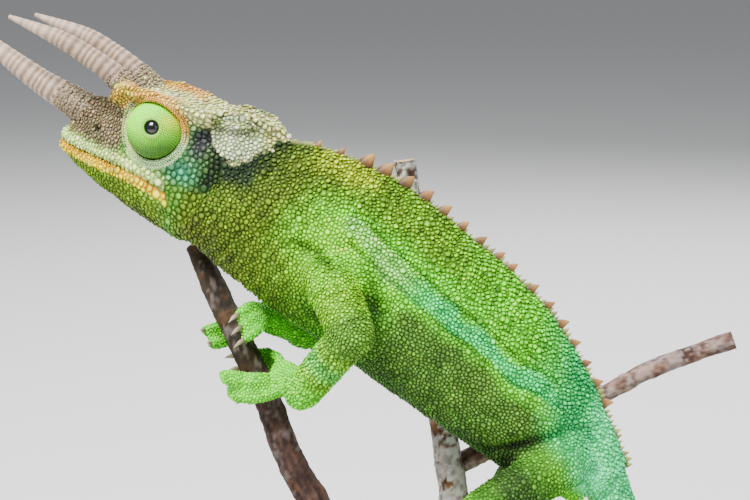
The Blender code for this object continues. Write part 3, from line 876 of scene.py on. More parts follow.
class Tone(Enum):
    """Colour, by zone, of the skin between scales, dark also as painted shade in the gaps, and of the scales' tops."""

    FLANK = ((0.072, 0.3, 0.013), (0.34, 0.92, 0.12))
    UPPER_FLANK = ((0.068, 0.16, 0.003), (0.32, 0.53, 0.049))
    # LOWER_FLANK and BELLY are dark partly in their own colour and partly as painted shade on the underside.
    LOWER_FLANK = ((0.034, 0.083, 0.004), (0.19, 0.34, 0.084))
    BELLY = ((0.01, 0.045, 0.003), (0.035, 0.14, 0.01))
    STRIPE_FRONT = ((0.1, 0.26, 0.04), (0.42, 0.82, 0.28))
    STRIPE = ((0.025, 0.24, 0.052), (0.13, 0.88, 0.33))
    HIPS = ((0.023, 0.24, 0.071), (0.095, 0.53, 0.22))
    TAIL = ((0.089, 0.56, 0.21), (0.22, 0.88, 0.48))
    NECK = ((0.059, 0.093, 0.002), (0.25, 0.35, 0.006))
    OLIVE = ((0.01, 0.024, 0.003), (0.048, 0.095, 0.029))
    NAPE = ((0.16, 0.21, 0.005), (0.69, 0.88, 0.09))
    THROAT = ((0.049, 0.071, 0.002), (0.21, 0.28, 0.008))
    CHEST = ((0.079, 0.14, 0.004), (0.25, 0.4, 0.02))
    SHOULDER = ((0.093, 0.24, 0.005), (0.44, 0.9, 0.046))
    UPPER_ARM = ((0.074, 0.19, 0.002), (0.4, 0.72, 0.049))
    ELBOW = ((0.074, 0.17, 0.017), (0.25, 0.45, 0.11))
    FOREARM = ((0.068, 0.16, 0.007), (0.42, 0.74, 0.083))
    HAND = ((0.12, 0.39, 0.044), (0.32, 0.91, 0.14))
    THIGH_TOP = ((0.077, 0.19, 0.026), (0.19, 0.4, 0.077))
    THIGH = ((0.031, 0.067, 0.012), (0.11, 0.21, 0.059))
    CHEEK = ((0.06, 0.16, 0.043), (0.23, 0.41, 0.16))
    TEAL = ((0.03, 0.17, 0.1), (0.16, 0.5, 0.34))
    CHEEK_BLUE = ((0.027, 0.041, 0.036), (0.13, 0.14, 0.13))
    JAW = ((0.13, 0.18, 0.006), (0.3, 0.47, 0.022))
    LIP_YELLOW = ((0.57, 0.4, 0.002), (0.92, 0.91, 0.004))
    LIP_ORANGE = ((0.5, 0.26, 0.002), (0.92, 0.64, 0.004))
    LIP_MINT = ((0.4, 0.57, 0.2), (0.9, 0.92, 0.52))
    SNOUT = ((0.12, 0.11, 0.051), (0.36, 0.3, 0.22))
    CASQUE = ((0.24, 0.23, 0.12), (0.72, 0.78, 0.44))
    TEMPLE = ((0.17, 0.21, 0.14), (0.71, 0.77, 0.53))
    BROW = ((0.3, 0.21, 0.06), (0.72, 0.56, 0.2))
    RIM = ((0.4, 0.25, 0.1), (0.85, 0.52, 0.2))
    CRESCENT = ((0.2, 0.3, 0.12), (0.6, 0.75, 0.5))
    LID_TOP = ((0.18, 0.86, 0.004), (0.48, 0.92, 0.01))
    LID_LOW = ((0.033, 0.06, 0.017), (0.08, 0.15, 0.057))

    def pair(self) -> Array:
        """Pigment of the tone.

        Returns:
            Dark and bright.
        """
        pigment = PIGMENT_LIFT * np.array(self.value) ** PIGMENT_DEPTH
        grey = pigment.mean(axis=1, keepdims=True)
        return np.clip(grey + (pigment - grey) * PIGMENT_PURITY, 0.002, 0.95)

    def base(self, places: Array) -> Array:
        """Coat of this tone for some places."""
        return np.tile(self.pair(), (len(places), 1, 1))


def lay(coat: Array, *layers: tuple[Tone | None, Array]) -> Array:
    """Lay tones over a coat one after another.

    Args:
        coat: Coat to start from.
        layers: Tone and its share for each place; without a tone the share is shade.

    Returns:
        The new coat.
    """
    for tone, share in layers:
        share = np.clip(share, 0, 1)[:, None, None]
        coat = coat * (1 - share) + (tone.pair() if tone else 0) * share
    return coat


def body_pattern(points: Array) -> Array:
    """Pattern of neck and trunk, with painted shade in its folds and creases.

    Args:
        points: Places.

    Returns:
        Coat.
    """
    station, height = ANIMAL.body(points)
    s = station + 0.25 * lumps(points, 5, 11)
    t = height + 0.07 * lumps(points, 5, 12)
    distance, along = path_distance(np.stack([s, t * 2.4], axis=1), np.array(STRIPE) * (1.0, 2.4))
    core = smooth(0.34, 0.14, distance)
    # groove holds painted shade in the crest grooves, neck wrinkles, stripe folds and creases by the legs.
    groove = np.maximum(crest_grooves(station, height, lumps(points, 2.2, 14)),
                        0.55 * neck_rings(station, height, lumps(points, 3, 16)))
    groove = np.maximum(0.6 * groove, 0.68 * stripe_lines(station, height, lumps(points, 9, 3)))
    groove = np.maximum(groove, 0.7 * limb_folds(station, height, 0.13))
    return lay(
        Tone.FLANK.base(points),
        (Tone.UPPER_FLANK, smooth(0.36, 0.66, t) * smooth(7, 4.6, s)),
        # Lower flank darker: partly its own colour, partly painted shade on the underside.
        (Tone.LOWER_FLANK, smooth(0.12, -0.14, t) * band(s, 3.9, 5.2, 9, 10.4)),
        (Tone.CHEST, smooth(0, -0.4, t) * smooth(4.6, 3, s)),
        (Tone.SHOULDER, 0.7 * hill(np.hypot(s - 3, t * 3), 1.2)),
        (Tone.NECK, smooth(3.3, 1.6, s)),
        (Tone.OLIVE, smooth(1.7, 0.7, s) * smooth(-0.05, 0.35, t)),
        (Tone.NAPE, band(s, 1.4, 2, 2.8, 3.6) * smooth(0.6, 0.85, t)),
        (Tone.THROAT, smooth(-0.2, -0.6, t) * smooth(2.6, 1.2, s)),
        (Tone.STRIPE_FRONT, core * smooth(2.2, 0.8, along)),
        (Tone.STRIPE, core * smooth(0.8, 2.2, along)),
        # Painted shade in the folds.
        (None, groove),
        (Tone.HIPS, smooth(7.6, 9.6, s + 1.3 * (t - 0.3)) * smooth(-0.45, 0, t)),
        (Tone.THIGH_TOP, band(s, 9, 10, 10.4, 11.4) * smooth(0, -0.4, t) * 0.6),
        (Tone.TAIL, smooth(9.8, 11, s + 0.6 * t) * smooth(-0.7, -0.2, t)),
        # More painted shade in the folds over the hips.
        (None, 0.5 * groove * smooth(8.6, 10.2, station)),
        # Belly darker: partly its own colour, partly painted shade on the underside.
        (Tone.BELLY, smooth(-0.6, -0.95, t) * band(s, 2, 3.5, 9, 10.5) * 0.5))


def head_pattern(points: Array) -> Array:
    """Pattern of the head.

    Args:
        points: Places.

    Returns:
        Coat.
    """
    u, left, v = ANIMAL.to_head(points).T
    wander = lumps(points, 2.4, 13)
    side = smooth(2.5, 4.5, np.abs(left))
    over = v - mouth_height(u)
    patch = temple_distance(u, v)
    stripe = band(over, -2.6, -1.9, -0.2, 0.15) * smooth(-8, -6, u)
    rim = hill(np.hypot(u, v) - 7.3, 0.7) * smooth(-7, -4, u) * smooth(0, 3, v)
    brow = smooth(8.6, 7.2, v + wander * 0.4) * smooth(1, 3, v) * band(u, -2, 3, 10, 11.5)
    return lay(
        Tone.CHEEK.base(points),
        (Tone.CHEEK_BLUE, 1.2 * hill(np.hypot(u + 9.9, (v - 1.5) * 0.55), 2.6)),
        (Tone.TEAL, 0.9 * hill(np.hypot((u + 8.2) * 0.7, v + 5.6), 2.4)),
        (Tone.FOREARM, 0.6 * hill(np.hypot(u - 0.5, (v + 8.6) * 1.6), 5)),
        (Tone.JAW, smooth(-1.5, -3, over + 0.5 * wander)),
        (Tone.THROAT, smooth(-4.5, -8.5, over + wander) * smooth(12, 2, u)),
        (Tone.ELBOW, smooth(-4.5, -7.5, u + 1.5 * wander) * smooth(-7, -9.5, v + wander)),
        (Tone.NECK, smooth(-8, -11.5, u + 1.5 * wander) * smooth(-5, -9, v + wander)),
        (Tone.OLIVE, smooth(-10.5, -13.5, u + wander) * smooth(-9, -6, v)),
        (Tone.SNOUT, smooth(5.4, 7.4, u + wander * 0.6) * smooth(2.2, 3.4, over)),
        (Tone.CASQUE, smooth(3.4, 5, v + wander * 0.4)),
        (Tone.BROW, brow * smooth(4.5, 6, np.abs(left))),
        (Tone.CASQUE, smooth(1.32, 1.15, patch) * side * smooth(-15, -17.5, u + 0.6 * v)),
        (Tone.TEMPLE, smooth(1.04, 0.96, patch) * side),
        # Painted shade in the groove around the temple's patch.
        (None, 0.6 * hill(patch - 1.07, 0.07) * side),
        (Tone.LIP_MINT, hill(over - 1.5, 1.15) * smooth(-6.6, -5, u)),
        (Tone.LIP_YELLOW, stripe),
        (Tone.LIP_ORANGE, stripe * smooth(-1.5, -0.5, over + 0.3 * wander)),
        # Painted shade in the nostril's pit.
        (None, 0.92 * hill(nostril_distance(u, v), 0.75) * side),
        (Tone.RIM, rim * side * 0.8))


def tail_pattern(points: Array) -> Array:
    """Pattern of the tail, with faint bands and painted shade in its ring wrinkles.

    Args:
        points: Places.

    Returns:
        Coat.
    """
    share = ANIMAL.tail(points)
    wander = lumps(points, 2.5, 18)
    bands = 0.55 * smooth(0.2, 0.8, np.sin(share * 62)) * smooth(0.1, 0.3, share)
    return lay(body_pattern(points), (Tone.TAIL, smooth(0, 0.06, share + 0.01 * wander)),
               # Painted shade in the ring wrinkles, then faint bands.
               (None, 0.45 * tail_rings(share, wander)), (Tone.FOREARM, bands))


def limb_pattern(points: Array, part: str, label: str) -> Array:
    """Pattern of one leg's node.

    Args:
        points: Places.
        part: Upper, lower or foot.
        label: Which leg.

    Returns:
        Coat.
    """
    root, bend, end = ANIMAL.limbs[label]
    top, middle, joint = {"fore": (Tone.SHOULDER, Tone.UPPER_ARM, Tone.ELBOW),
                          "hind": (Tone.THIGH_TOP, Tone.THIGH, Tone.THIGH_TOP)}[label[:4]]
    if part == "foot":
        return Tone.HAND.base(points)
    shade = (None, 0.4 * limb_creases(points))
    if part == "upper":
        share = segment_distance(points, root, bend)[1]
        return lay(top.base(points), (middle, smooth(0.25, 0.6, share)), (joint, smooth(0.7, 0.95, share)), shade)
    share = segment_distance(points, bend, end)[1]
    return lay(joint.base(points), (Tone.FOREARM, smooth(0.1, 0.4, share)),
               (Tone.STRIPE, 0.5 * hill(share - 0.5, 0.12)), (Tone.HAND, smooth(0.6, 0.95, share)), shade)


def animal_coat(points: Array, node: Array) -> Array:
    """Colours of the whole animal, with painted shade on the trunk around the upper legs.

    Args:
        points: Places.
        node: Their flesh nodes.

    Returns:
        The coat.
    """
    coat = np.zeros((len(points), 2, 3))
    trunk = on_body(node)
    for chosen, pattern in ((within(node, Region.HEAD), head_pattern), (trunk, body_pattern),
                            (within(node, Region.TAIL), tail_pattern)):
        coat[chosen] = pattern(points[chosen])
    for label, (root, bend, _) in ANIMAL.limbs.items():
        for part in ("upper", "lower", "foot"):
            chosen = node == FLESH.index(f"{part}_{label}")
            coat[chosen] = limb_pattern(points[chosen], part, label)
        chosen = node == FLESH.index("upper_" + label)
        own = smooth(0.02, 0.4, segment_distance(points[chosen], root, bend)[1])[:, None, None]
        coat[chosen] = coat[chosen] * own + body_pattern(points[chosen]) * (1 - own)
    # Painted shade on the trunk around each upper leg, where the leg shades the flank.
    for root, bend, _ in ANIMAL.limbs.values():
        distance, share = segment_distance(points[trunk], root, bend)
        coat[trunk] = lay(coat[trunk], (None, 0.62 * hill(distance - 7.2, 1.8) * smooth(0, 0.4, share)))
    coat *= (1 + 0.18 * lumps(points, 6, 8) + 0.3 * lumps(points, 1.8, 9))[:, None, None]
    coat[:, :, 0] *= (1 + 0.08 * lumps(points, 4, 10))[:, None]
    return coat


# Skin

@dataclass
class Spike:
    """A cone that grows from a flesh node: a crest spine or a claw."""

    node: str
    tip: Array
    root: Array


@dataclass
class Surface:
    """A surface of quads to set things on, with a nearest-place search."""

    points: Array
    quads: Array

    def __post_init__(self) -> None:
        """Work out normals and the search tree."""
        self.normals = corner_normals(self.points, self.quads)
        self.tree = BVHTree.FromPolygons(self.points.tolist(), self.quads.tolist())

    def snap(self, points: Array) -> tuple[Array, Array, Array]:
        """Move places onto the surface.

        Args:
            points: Places near it.

        Returns:
            Nearest places on the surface, smooth normals there and face numbers.
        """
        found = [self.tree.find_nearest(Vector(point)) for point in points]
        place, face = (np.array([hit[k] for hit in found]) for k in (0, 2))
        corners = self.quads[face]
        weight = 1 / (np.linalg.norm(self.points[corners] - place[:, None], axis=2) + 0.02)
        return place, unit((self.normals[corners] * weight[:, :, None]).sum(axis=1)), face


def head_relief(points: Array) -> Array:
    """Height of the head's features over its bare surface.

    Args:
        points: Places.

    Returns:
        Heights.
    """
    u, left, v = ANIMAL.to_head(points).T
    side = np.abs(left)
    over = v - mouth_height(u)
    mouth = smooth(-7.5, -5.5, u)
    height = -0.6 * hill(over, 0.42) * mouth
    height += 0.2 * (hill(over - 1.25, 0.75) + hill(over + 1.25, 0.8)) * mouth
    nostril = nostril_distance(u, v)
    height += smooth(2, 4, side) * (0.3 * hill(nostril - 1.3, 0.5) - 1.5 * hill(nostril, 0.7))
    height += smooth(3, 5, side) * 0.25 * hill(np.hypot(u, v) - 7.6, 0.6)
    height += 0.2 * lumps(points, 1.7) * np.clip(smooth(5, 9, u) + smooth(4.5, 6.5, v), 0, 1)
    height += 0.16 * lumps(points, 3.6, 1) * smooth(2, -4, v)
    height -= 0.25 * hill(np.sin(left * 1.5 + lumps(points, 5, 2)), 0.3) * smooth(-14.5, -17.5, v)
    patch = temple_distance(u, v)
    height += 0.22 * lumps(points, 1.4, 17) * smooth(1.05, 0.9, patch) * smooth(3, 5, side)
    return height - 0.5 * hill(patch - 1.08, 0.07) * smooth(3, 5, side)


def body_relief(points: Array) -> Array:
    """Height of the neck's and trunk's folds over their bare surface.

    Args:
        points: Places.

    Returns:
        Heights.
    """
    station, height = ANIMAL.body(points)
    wander = lumps(points, 9, 3)
    flank = on_flank(station)
    move = 0.16 * hill(height - stripe_middle(station, wander), 0.08) * flank
    move -= 0.45 * stripe_lines(station, height, wander)
    move += 0.12 * np.cos(station * math.tau / 0.82 + height * 2) * flank * smooth(0.8, 0.3, np.abs(height))
    move -= 0.16 * crest_grooves(station, height, lumps(points, 2.2, 14))
    move -= 0.8 * limb_folds(station, height, 0.17)
    move -= 0.3 * smooth(2.8, 1.6, station) * hill(np.sin(station * 4.4 + height * 1.2 + wander), 0.28)
    move -= 0.22 * neck_rings(station, height, lumps(points, 3, 16))
    return move + (0.17 * lumps(points, 2.6, 4) + 0.2 * lumps(points, 5.5, 5))


def tail_relief(points: Array) -> Array:
    """Rings and lumps of the tail."""
    share = ANIMAL.tail(points)
    return 0.08 * lumps(points, 2.4, 6) - 0.16 * tail_rings(share, lumps(points, 2.5, 18)) * smooth(0.9, 0.5, share)


def limb_relief(points: Array) -> Array:
    """Wrinkles and lumps of the legs and feet."""
    wrinkle = 0.14 * limb_creases(points)
    return 0.1 * lumps(points, 2.4, 6) + 0.06 * lumps(points, 1.2, 7) - wrinkle


def plain_tube(path: Array, radii: Array) -> tuple[Array, Array]:
    """Corners and triangles of a closed tube."""
    points, (walls, caps) = tube(path, radii, 36)
    return points, join([walls[:, [0, 1, 2]], walls[:, [0, 2, 3]], caps])


def largest(points: Array, quads: Array) -> tuple[Array, Array]:
    """Biggest joined piece of a mesh.

    Args:
        points: Corners.
        quads: Faces.

    Returns:
        Its corners and faces.
    """
    group, before = np.arange(len(points)), None
    while not np.array_equal(group, before):
        before = group.copy()
        np.minimum.at(group, quads.ravel(), np.repeat(group[quads].min(axis=1), 4))
        group = group[group]
    kept = group == np.bincount(group).argmax()
    renumber = np.cumsum(kept) - 1
    return points[kept], renumber[quads[kept[quads[:, 0]]]]


def nearest_node(points: Array) -> Array:
    """Number of the nearest flesh node.

    Args:
        points: Places.

    Returns:
        Numbers.
    """
    corners, faces, owner, total = [], [], [], 0
    for index, name in enumerate(FLESH):
        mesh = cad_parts[name].data
        mesh.calc_loop_triangles()
        corners += [tuple(np.array(vertex.co) / MM) for vertex in mesh.vertices]
        faces += [[corner + total for corner in triangle.vertices] for triangle in mesh.loop_triangles]
        owner += [index] * len(mesh.loop_triangles)
        total += len(mesh.vertices)
    tree = BVHTree.FromPolygons(corners, faces)
    return np.array([owner[tree.find_nearest(Vector(point))[2]] for point in points])


@dataclass
class Skin:
    """One skin that stands in for all flesh nodes and lies inside them by the coat's depth."""

    voxel: float = 0.57
    swell: float = 0.22
    depth: float = 0.3
    core: float = 7.0
    cone_deficit: float = 3.0
    claw_spread: float = 1.3
    crest_spread: float = 4.5
    lobe_centre: tuple = (8.3, 5.4, 2.4)
    lobe_reach: tuple = (2.5, 2.3, 3.9)
    spikes: list = field(default_factory=list)

    def build(self) -> Surface:
        """Merge, remesh and smooth the flesh.

        Returns:
            The bare surface before any folds.
        """
        parts = [self.swollen(name) for name in FLESH if name not in Region.TAIL.nodes]
        parts += [self.lobe(side.value) for side in Side]
        parts += [self.round_tail(), *(self.horn_core(name) for name in ANIMAL.horns)]
        starts = np.cumsum([0] + [len(points) for points, _ in parts])
        points = join([points for points, _ in parts])
        points, quads = self.remesh(points, join([part[1] + start for part, start in zip(parts, starts)]))
        points, quads = largest(points, quads)
        node = nearest_node(points)
        points = self.relax(points, quads, node)
        points -= corner_normals(points, quads) * (self.swell + self.depth)
        return Surface(self.relax(points, quads, node, 3), quads)

    def round_tail(self) -> tuple[Array, Array]:
        """Smooth tail along its whole coil, a little slimmer than the solid one, most where the coil comes near it.

        Returns:
            Corners and triangles.
        """
        path = ANIMAL.tail_path(500)
        share = np.linspace(0, 1, len(path))
        wide, thin = ANIMAL.tail_radii
        radii = (wide + (thin - wide) * share ** 0.85) * (0.975 - 0.035 * smooth(0.02, 0.09, share)) + 0.1
        radii -= 0.25 * np.maximum(hill(share - 0.098, 0.04), hill(share - 0.527, 0.05))
        path = join([path[:1] * 2 - path[30:31], path])
        return plain_tube(path, join([radii[:1], radii]))

    def horn_core(self, name: str) -> tuple[Array, Array]:
        """Root of a horn, which fills its socket in the skull.

        Args:
            name: Name of the horn.

        Returns:
            Corners and triangles.
        """
        path, radii, travelled = ANIMAL.horn_line(name)
        root = travelled < self.core
        return plain_tube(path[root], radii[root] + 0.1)

    def lobe(self, side: int) -> tuple[Array, Array]:
        """Rounded fold of skin between snout and eye.

        Args:
            side: 1 for the left, -1 for the right.

        Returns:
            Corners and triangles.
        """
        ball = bmesh.new()
        bmesh.ops.create_icosphere(ball, subdivisions=3, radius=1)
        points = np.array([vertex.co for vertex in ball.verts]) * self.lobe_reach
        points += np.array(self.lobe_centre) * (1.0, side, 1.0)
        triangles = np.array([[vertex.index for vertex in face.verts] for face in ball.faces])
        ball.free()
        return ANIMAL.from_head(points), triangles

    def swollen(self, name: str) -> tuple[Array, Array]:
        """Node's own shape, its spikes cut off and its surface moved out.

        Args:
            name: Flesh node.

        Returns:
            Corners in millimetres and triangles.
        """
        body = bmesh.new()
        body.from_mesh(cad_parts[name].data)
        bmesh.ops.remove_doubles(body, verts=body.verts, dist=2e-6)
        bmesh.ops.triangulate(body, faces=body.faces)
        bmesh.ops.recalc_face_normals(body, faces=body.faces)
        if name.startswith(("foot", "trunk", "neck")):
            self.cut_spikes(name, body)
        body.normal_update()
        points = np.array([vertex.co + vertex.normal * self.swell * MM for vertex in body.verts]) / MM
        triangles = np.array([[vertex.index for vertex in face.verts] for face in body.faces])
        body.free()
        return points, triangles

    def cut_spikes(self, name: str, body: bmesh.types.BMesh) -> None:
        """Note each cone's tip and push it down to its root.

        Args:
            name: Flesh node.
            body: Its mesh, which is changed.
        """
        spread = self.claw_spread if name.startswith("foot") else self.crest_spread
        found = []
        for vertex in body.verts:
            deficit = math.tau - sum(loop.calc_angle() for loop in vertex.link_loops)
            ring = [edge.other_vert(vertex).co for edge in vertex.link_edges]
            root = sum(ring, Vector()) / len(ring)
            if deficit > self.cone_deficit and max((corner - root).length for corner in ring) < spread * MM:
                found.append((vertex, root))
        for vertex, root in found:
            self.spikes.append(Spike(name, np.array(vertex.co) / MM, np.array(root) / MM))
            vertex.co = root

    def remesh(self, points: Array, triangles: Array) -> tuple[Array, Array]:
        """One closed quad mesh around all the given ones.

        Args:
            points: Corners.
            triangles: Faces.

        Returns:
            New corners and quads.
        """
        source = write_mesh("flesh", points / MM, [triangles])
        modifier = source.modifiers.new("voxels", "REMESH")
        modifier.mode = "VOXEL"
        modifier.voxel_size = self.voxel
        graph = bpy.context.evaluated_depsgraph_get()
        mesh = bpy.data.meshes.new_from_object(source.evaluated_get(graph))
        corners = np.zeros(len(mesh.vertices) * 3, np.float32)
        mesh.vertices.foreach_get("co", corners)
        quads = np.zeros(len(mesh.loops), np.int32)
        mesh.loops.foreach_get("vertex_index", quads)
        bpy.data.objects.remove(source)
        bpy.data.meshes.remove(mesh)
        return corners.reshape(-1, 3).astype(float), quads.reshape(-1, 4)

    def relax(self, points: Array, quads: Array, node: Array, limit: int = 999) -> Array:
        """Smooth the surface without shrinking it, more on the trunk than on the feet.

        Args:
            points: Corners.
            quads: Faces.
            node: Flesh node of each corner.
            limit: Greatest number of rounds anywhere.

        Returns:
            Moved corners.
        """
        first, second = quads.T.ravel(), np.roll(quads, -1, axis=1).T.ravel()
        first, second = join([first, second]), join([second, first])
        degree = np.bincount(first, minlength=len(points))

        def average(values: Array) -> Array:
            """Mean of each corner's neighbours."""
            return np.stack([np.bincount(first, row[second], len(points)) / degree for row in values.T], axis=1)

        wanted = np.minimum(region_values(node, "rounds"), limit)[:, None]
        for _ in range(8):
            wanted = average(wanted)
        moved = points.copy()
        for count in range(int(wanted.max()) + 1):
            for pull in (0.6, -0.62):
                moved = moved + (average(moved) - moved) * pull * np.clip(wanted - count, 0, 1)
        return moved

    def fold(self, surface: Surface) -> Surface:
        """Press the folds, lips, nostrils and creases into the bare surface.

        Args:
            surface: Bare surface.

        Returns:
            The folded surface.
        """
        node = nearest_node(surface.points)
        move = np.zeros(len(surface.points))
        reliefs = (((Region.HEAD,), head_relief), ((Region.NECK, Region.TRUNK), body_relief),
                   ((Region.TAIL,), tail_relief),
                   ((Region.FORELEGS, Region.HINDLEGS, Region.FEET), limb_relief))
        for regions, relief in reliefs:
            chosen = within(node, *regions)
            move[chosen] = relief(surface.points[chosen])
        return Surface(surface.points + surface.normals * move[:, None], surface.quads)

    def dress(self, surface: Surface) -> Body:
        """Make the skin's object, painted mostly with the dark tone, as painted shade in the gaps between scales.

        Args:
            surface: The folded surface.

        Returns:
            The finished skin.
        """
        coat = animal_coat(surface.points, nearest_node(surface.points))
        # Painted shade: the skin between scales is painted close to the dark tone.
        body = write_mesh("skin", surface.points, [surface.quads], mix(coat[:, 0], coat[:, 1], 0.2))
        bpy.context.view_layer.objects.active = body
        body.select_set(True)
        bpy.ops.object.mode_set(mode="EDIT")
        bpy.ops.mesh.select_all(action="SELECT")
        body.data.uv_layers.new(name="OFBake")
        bpy.ops.uv.smart_project(angle_limit=math.radians(66), island_margin=0.0015)
        bpy.ops.object.mode_set(mode="OBJECT")
        body.select_set(False)
        settle(body, PaintedFinish("skin_between_scales", roughness=0.65, specular=0.15), "skin", *FLESH)
        return body


# Coat

# Scale outline from base to top; its last column is painted light: painted shade at the sunken base, a painted
# highlight on the top.
SCALE_RINGS = ((1.0, -0.14, 0.0, 0.0), (0.93, 0.5, 0.05, 0.3), (0.6, 0.95, 0.13, 0.8), (0.0, 1.08, 0.13, 0.95))


@dataclass
class Scales:
    """Solid pebble scales, one for each root, that fill the cells between their neighbours.

    Each entry of rings is an outline from the bottom up, with the top's middle as the last: share of the width,
    height, shift along the lie and painted light, painted shade at the base and a painted highlight on top.
    """

    roots: Array
    normals: Array
    spans: Array
    ways: Array
    coat: Array
    maps: Array
    heights: Array
    stretch: Array | float = 1.0
    corners: int = 7
    seam: float = 0.07
    patch: float = 0.0014
    rings: tuple = SCALE_RINGS
    seed: int = 4

    def __post_init__(self) -> None:
        """Work out each scale's axes and outline."""
        random = np.random.default_rng(self.seed)
        self.along = unit(self.ways - self.normals * dots(self.ways, self.normals)[:, None])
        self.across = np.cross(self.normals, self.along)
        turn = random.uniform(0, math.tau, len(self.roots))
        self.angles = turn[:, None] + turns(self.corners)
        self.reaches = self.cells(random)

    def cells(self, random: np.random.Generator) -> Array:
        """Reach of each scale towards each of its corners.

        Args:
            random: Where the draws come from.

        Returns:
            One row for each scale.
        """
        weight = self.spans * random.lognormal(0.0, 0.06, len(self.roots))
        first, second, gap = near_pairs(self.roots, float(self.spans.max()) * 1.7)
        near = gap < 1.9 * 0.5 * (self.spans[first] + self.spans[second])
        near &= dots(self.normals[first], self.normals[second]) > 0.1
        first, second, gap = first[near], second[near], gap[near]
        offset = self.roots[second] - self.roots[first]
        x, y = dots(offset, self.along[first]), dots(offset, self.across[first])
        flat = np.maximum(np.hypot(x, y), 1e-6)
        split = weight[first] / (weight[first] + weight[second])
        longest = np.broadcast_to(self.stretch, len(self.roots))[:, None]
        reaches = 0.72 * self.spans[:, None] * np.hypot(np.cos(self.angles) / longest, np.sin(self.angles))
        for corner in range(self.corners):
            angle = self.angles[first, corner]
            facing = (np.cos(angle) * x + np.sin(angle) * y) / flat
            reach = np.where(facing > 0.12, split * gap / np.maximum(facing, 0.12), 9)
            np.minimum.at(reaches[:, corner], first, reach)
        return np.maximum(reaches - self.seam * self.spans[:, None], 0.2 * self.spans[:, None])

    def piece(self, name: str, chosen: Array | None = None) -> Body:
        """Join scales into one object.

        Args:
            name: Name of the object.
            chosen: Numbers of the scales, all of them when left out.

        Returns:
            The object, without finish.
        """
        chosen = np.arange(len(self.roots)) if chosen is None else chosen
        count, corners, last = len(chosen), self.corners, len(self.rings) - 2
        angle, reach = self.angles[chosen], self.reaches[chosen][:, :, None]
        root, normal, along, across, maps = (block[chosen][:, None] for block in (
            self.roots, self.normals, self.along, self.across, self.maps))
        span, height = self.spans[chosen][:, None, None], self.heights[chosen][:, None, None]
        side, flank = np.cos(angle)[:, :, None], np.sin(angle)[:, :, None]
        fan = np.stack([np.cos(angle), np.sin(angle)], axis=2) * (reach / reach.max(axis=1, keepdims=True))
        dark, bright = self.coat[chosen, 0][:, None], self.coat[chosen, 1][:, None]
        points, paint, uv = [], [], []
        # Each ring's colour runs from painted shade at the base to a painted highlight at the top.
        for share, rise, shift, painted_light in self.rings[:-1]:
            spread = along * (side * reach * share + shift * span) + across * flank * reach * share
            points.append(root + spread + normal * height * rise * (1 + 0.22 * side))
            paint.append(np.repeat(mix(dark, bright, painted_light), corners, axis=1))
            uv.append(maps + fan * self.patch * (0.3 + 0.7 * share))
        _, rise, shift, painted_light = self.rings[-1]
        points.append(root + along * shift * span + normal * height * rise)
        paint.append(np.clip(mix(dark, bright, painted_light), 0, 0.95))
        uv.append(maps)
        step = np.arange(corners)
        lid = np.stack([step, (step + 1) % corners, np.full(corners, corners)], axis=1) + last * corners
        base = np.arange(count)[:, None, None] * ((last + 1) * corners + 1)
        faces = [(block[None] + base).reshape(-1, block.shape[-1])
                 for block in (ring_quads(last + 1, corners), lid, step[::-1][None])]
        points, paint, uv = (join(block, axis=1) for block in (points, paint, uv))
        return write_mesh(name, points.reshape(-1, 3), faces, paint.reshape(-1, 3), uv.reshape(-1, 2))


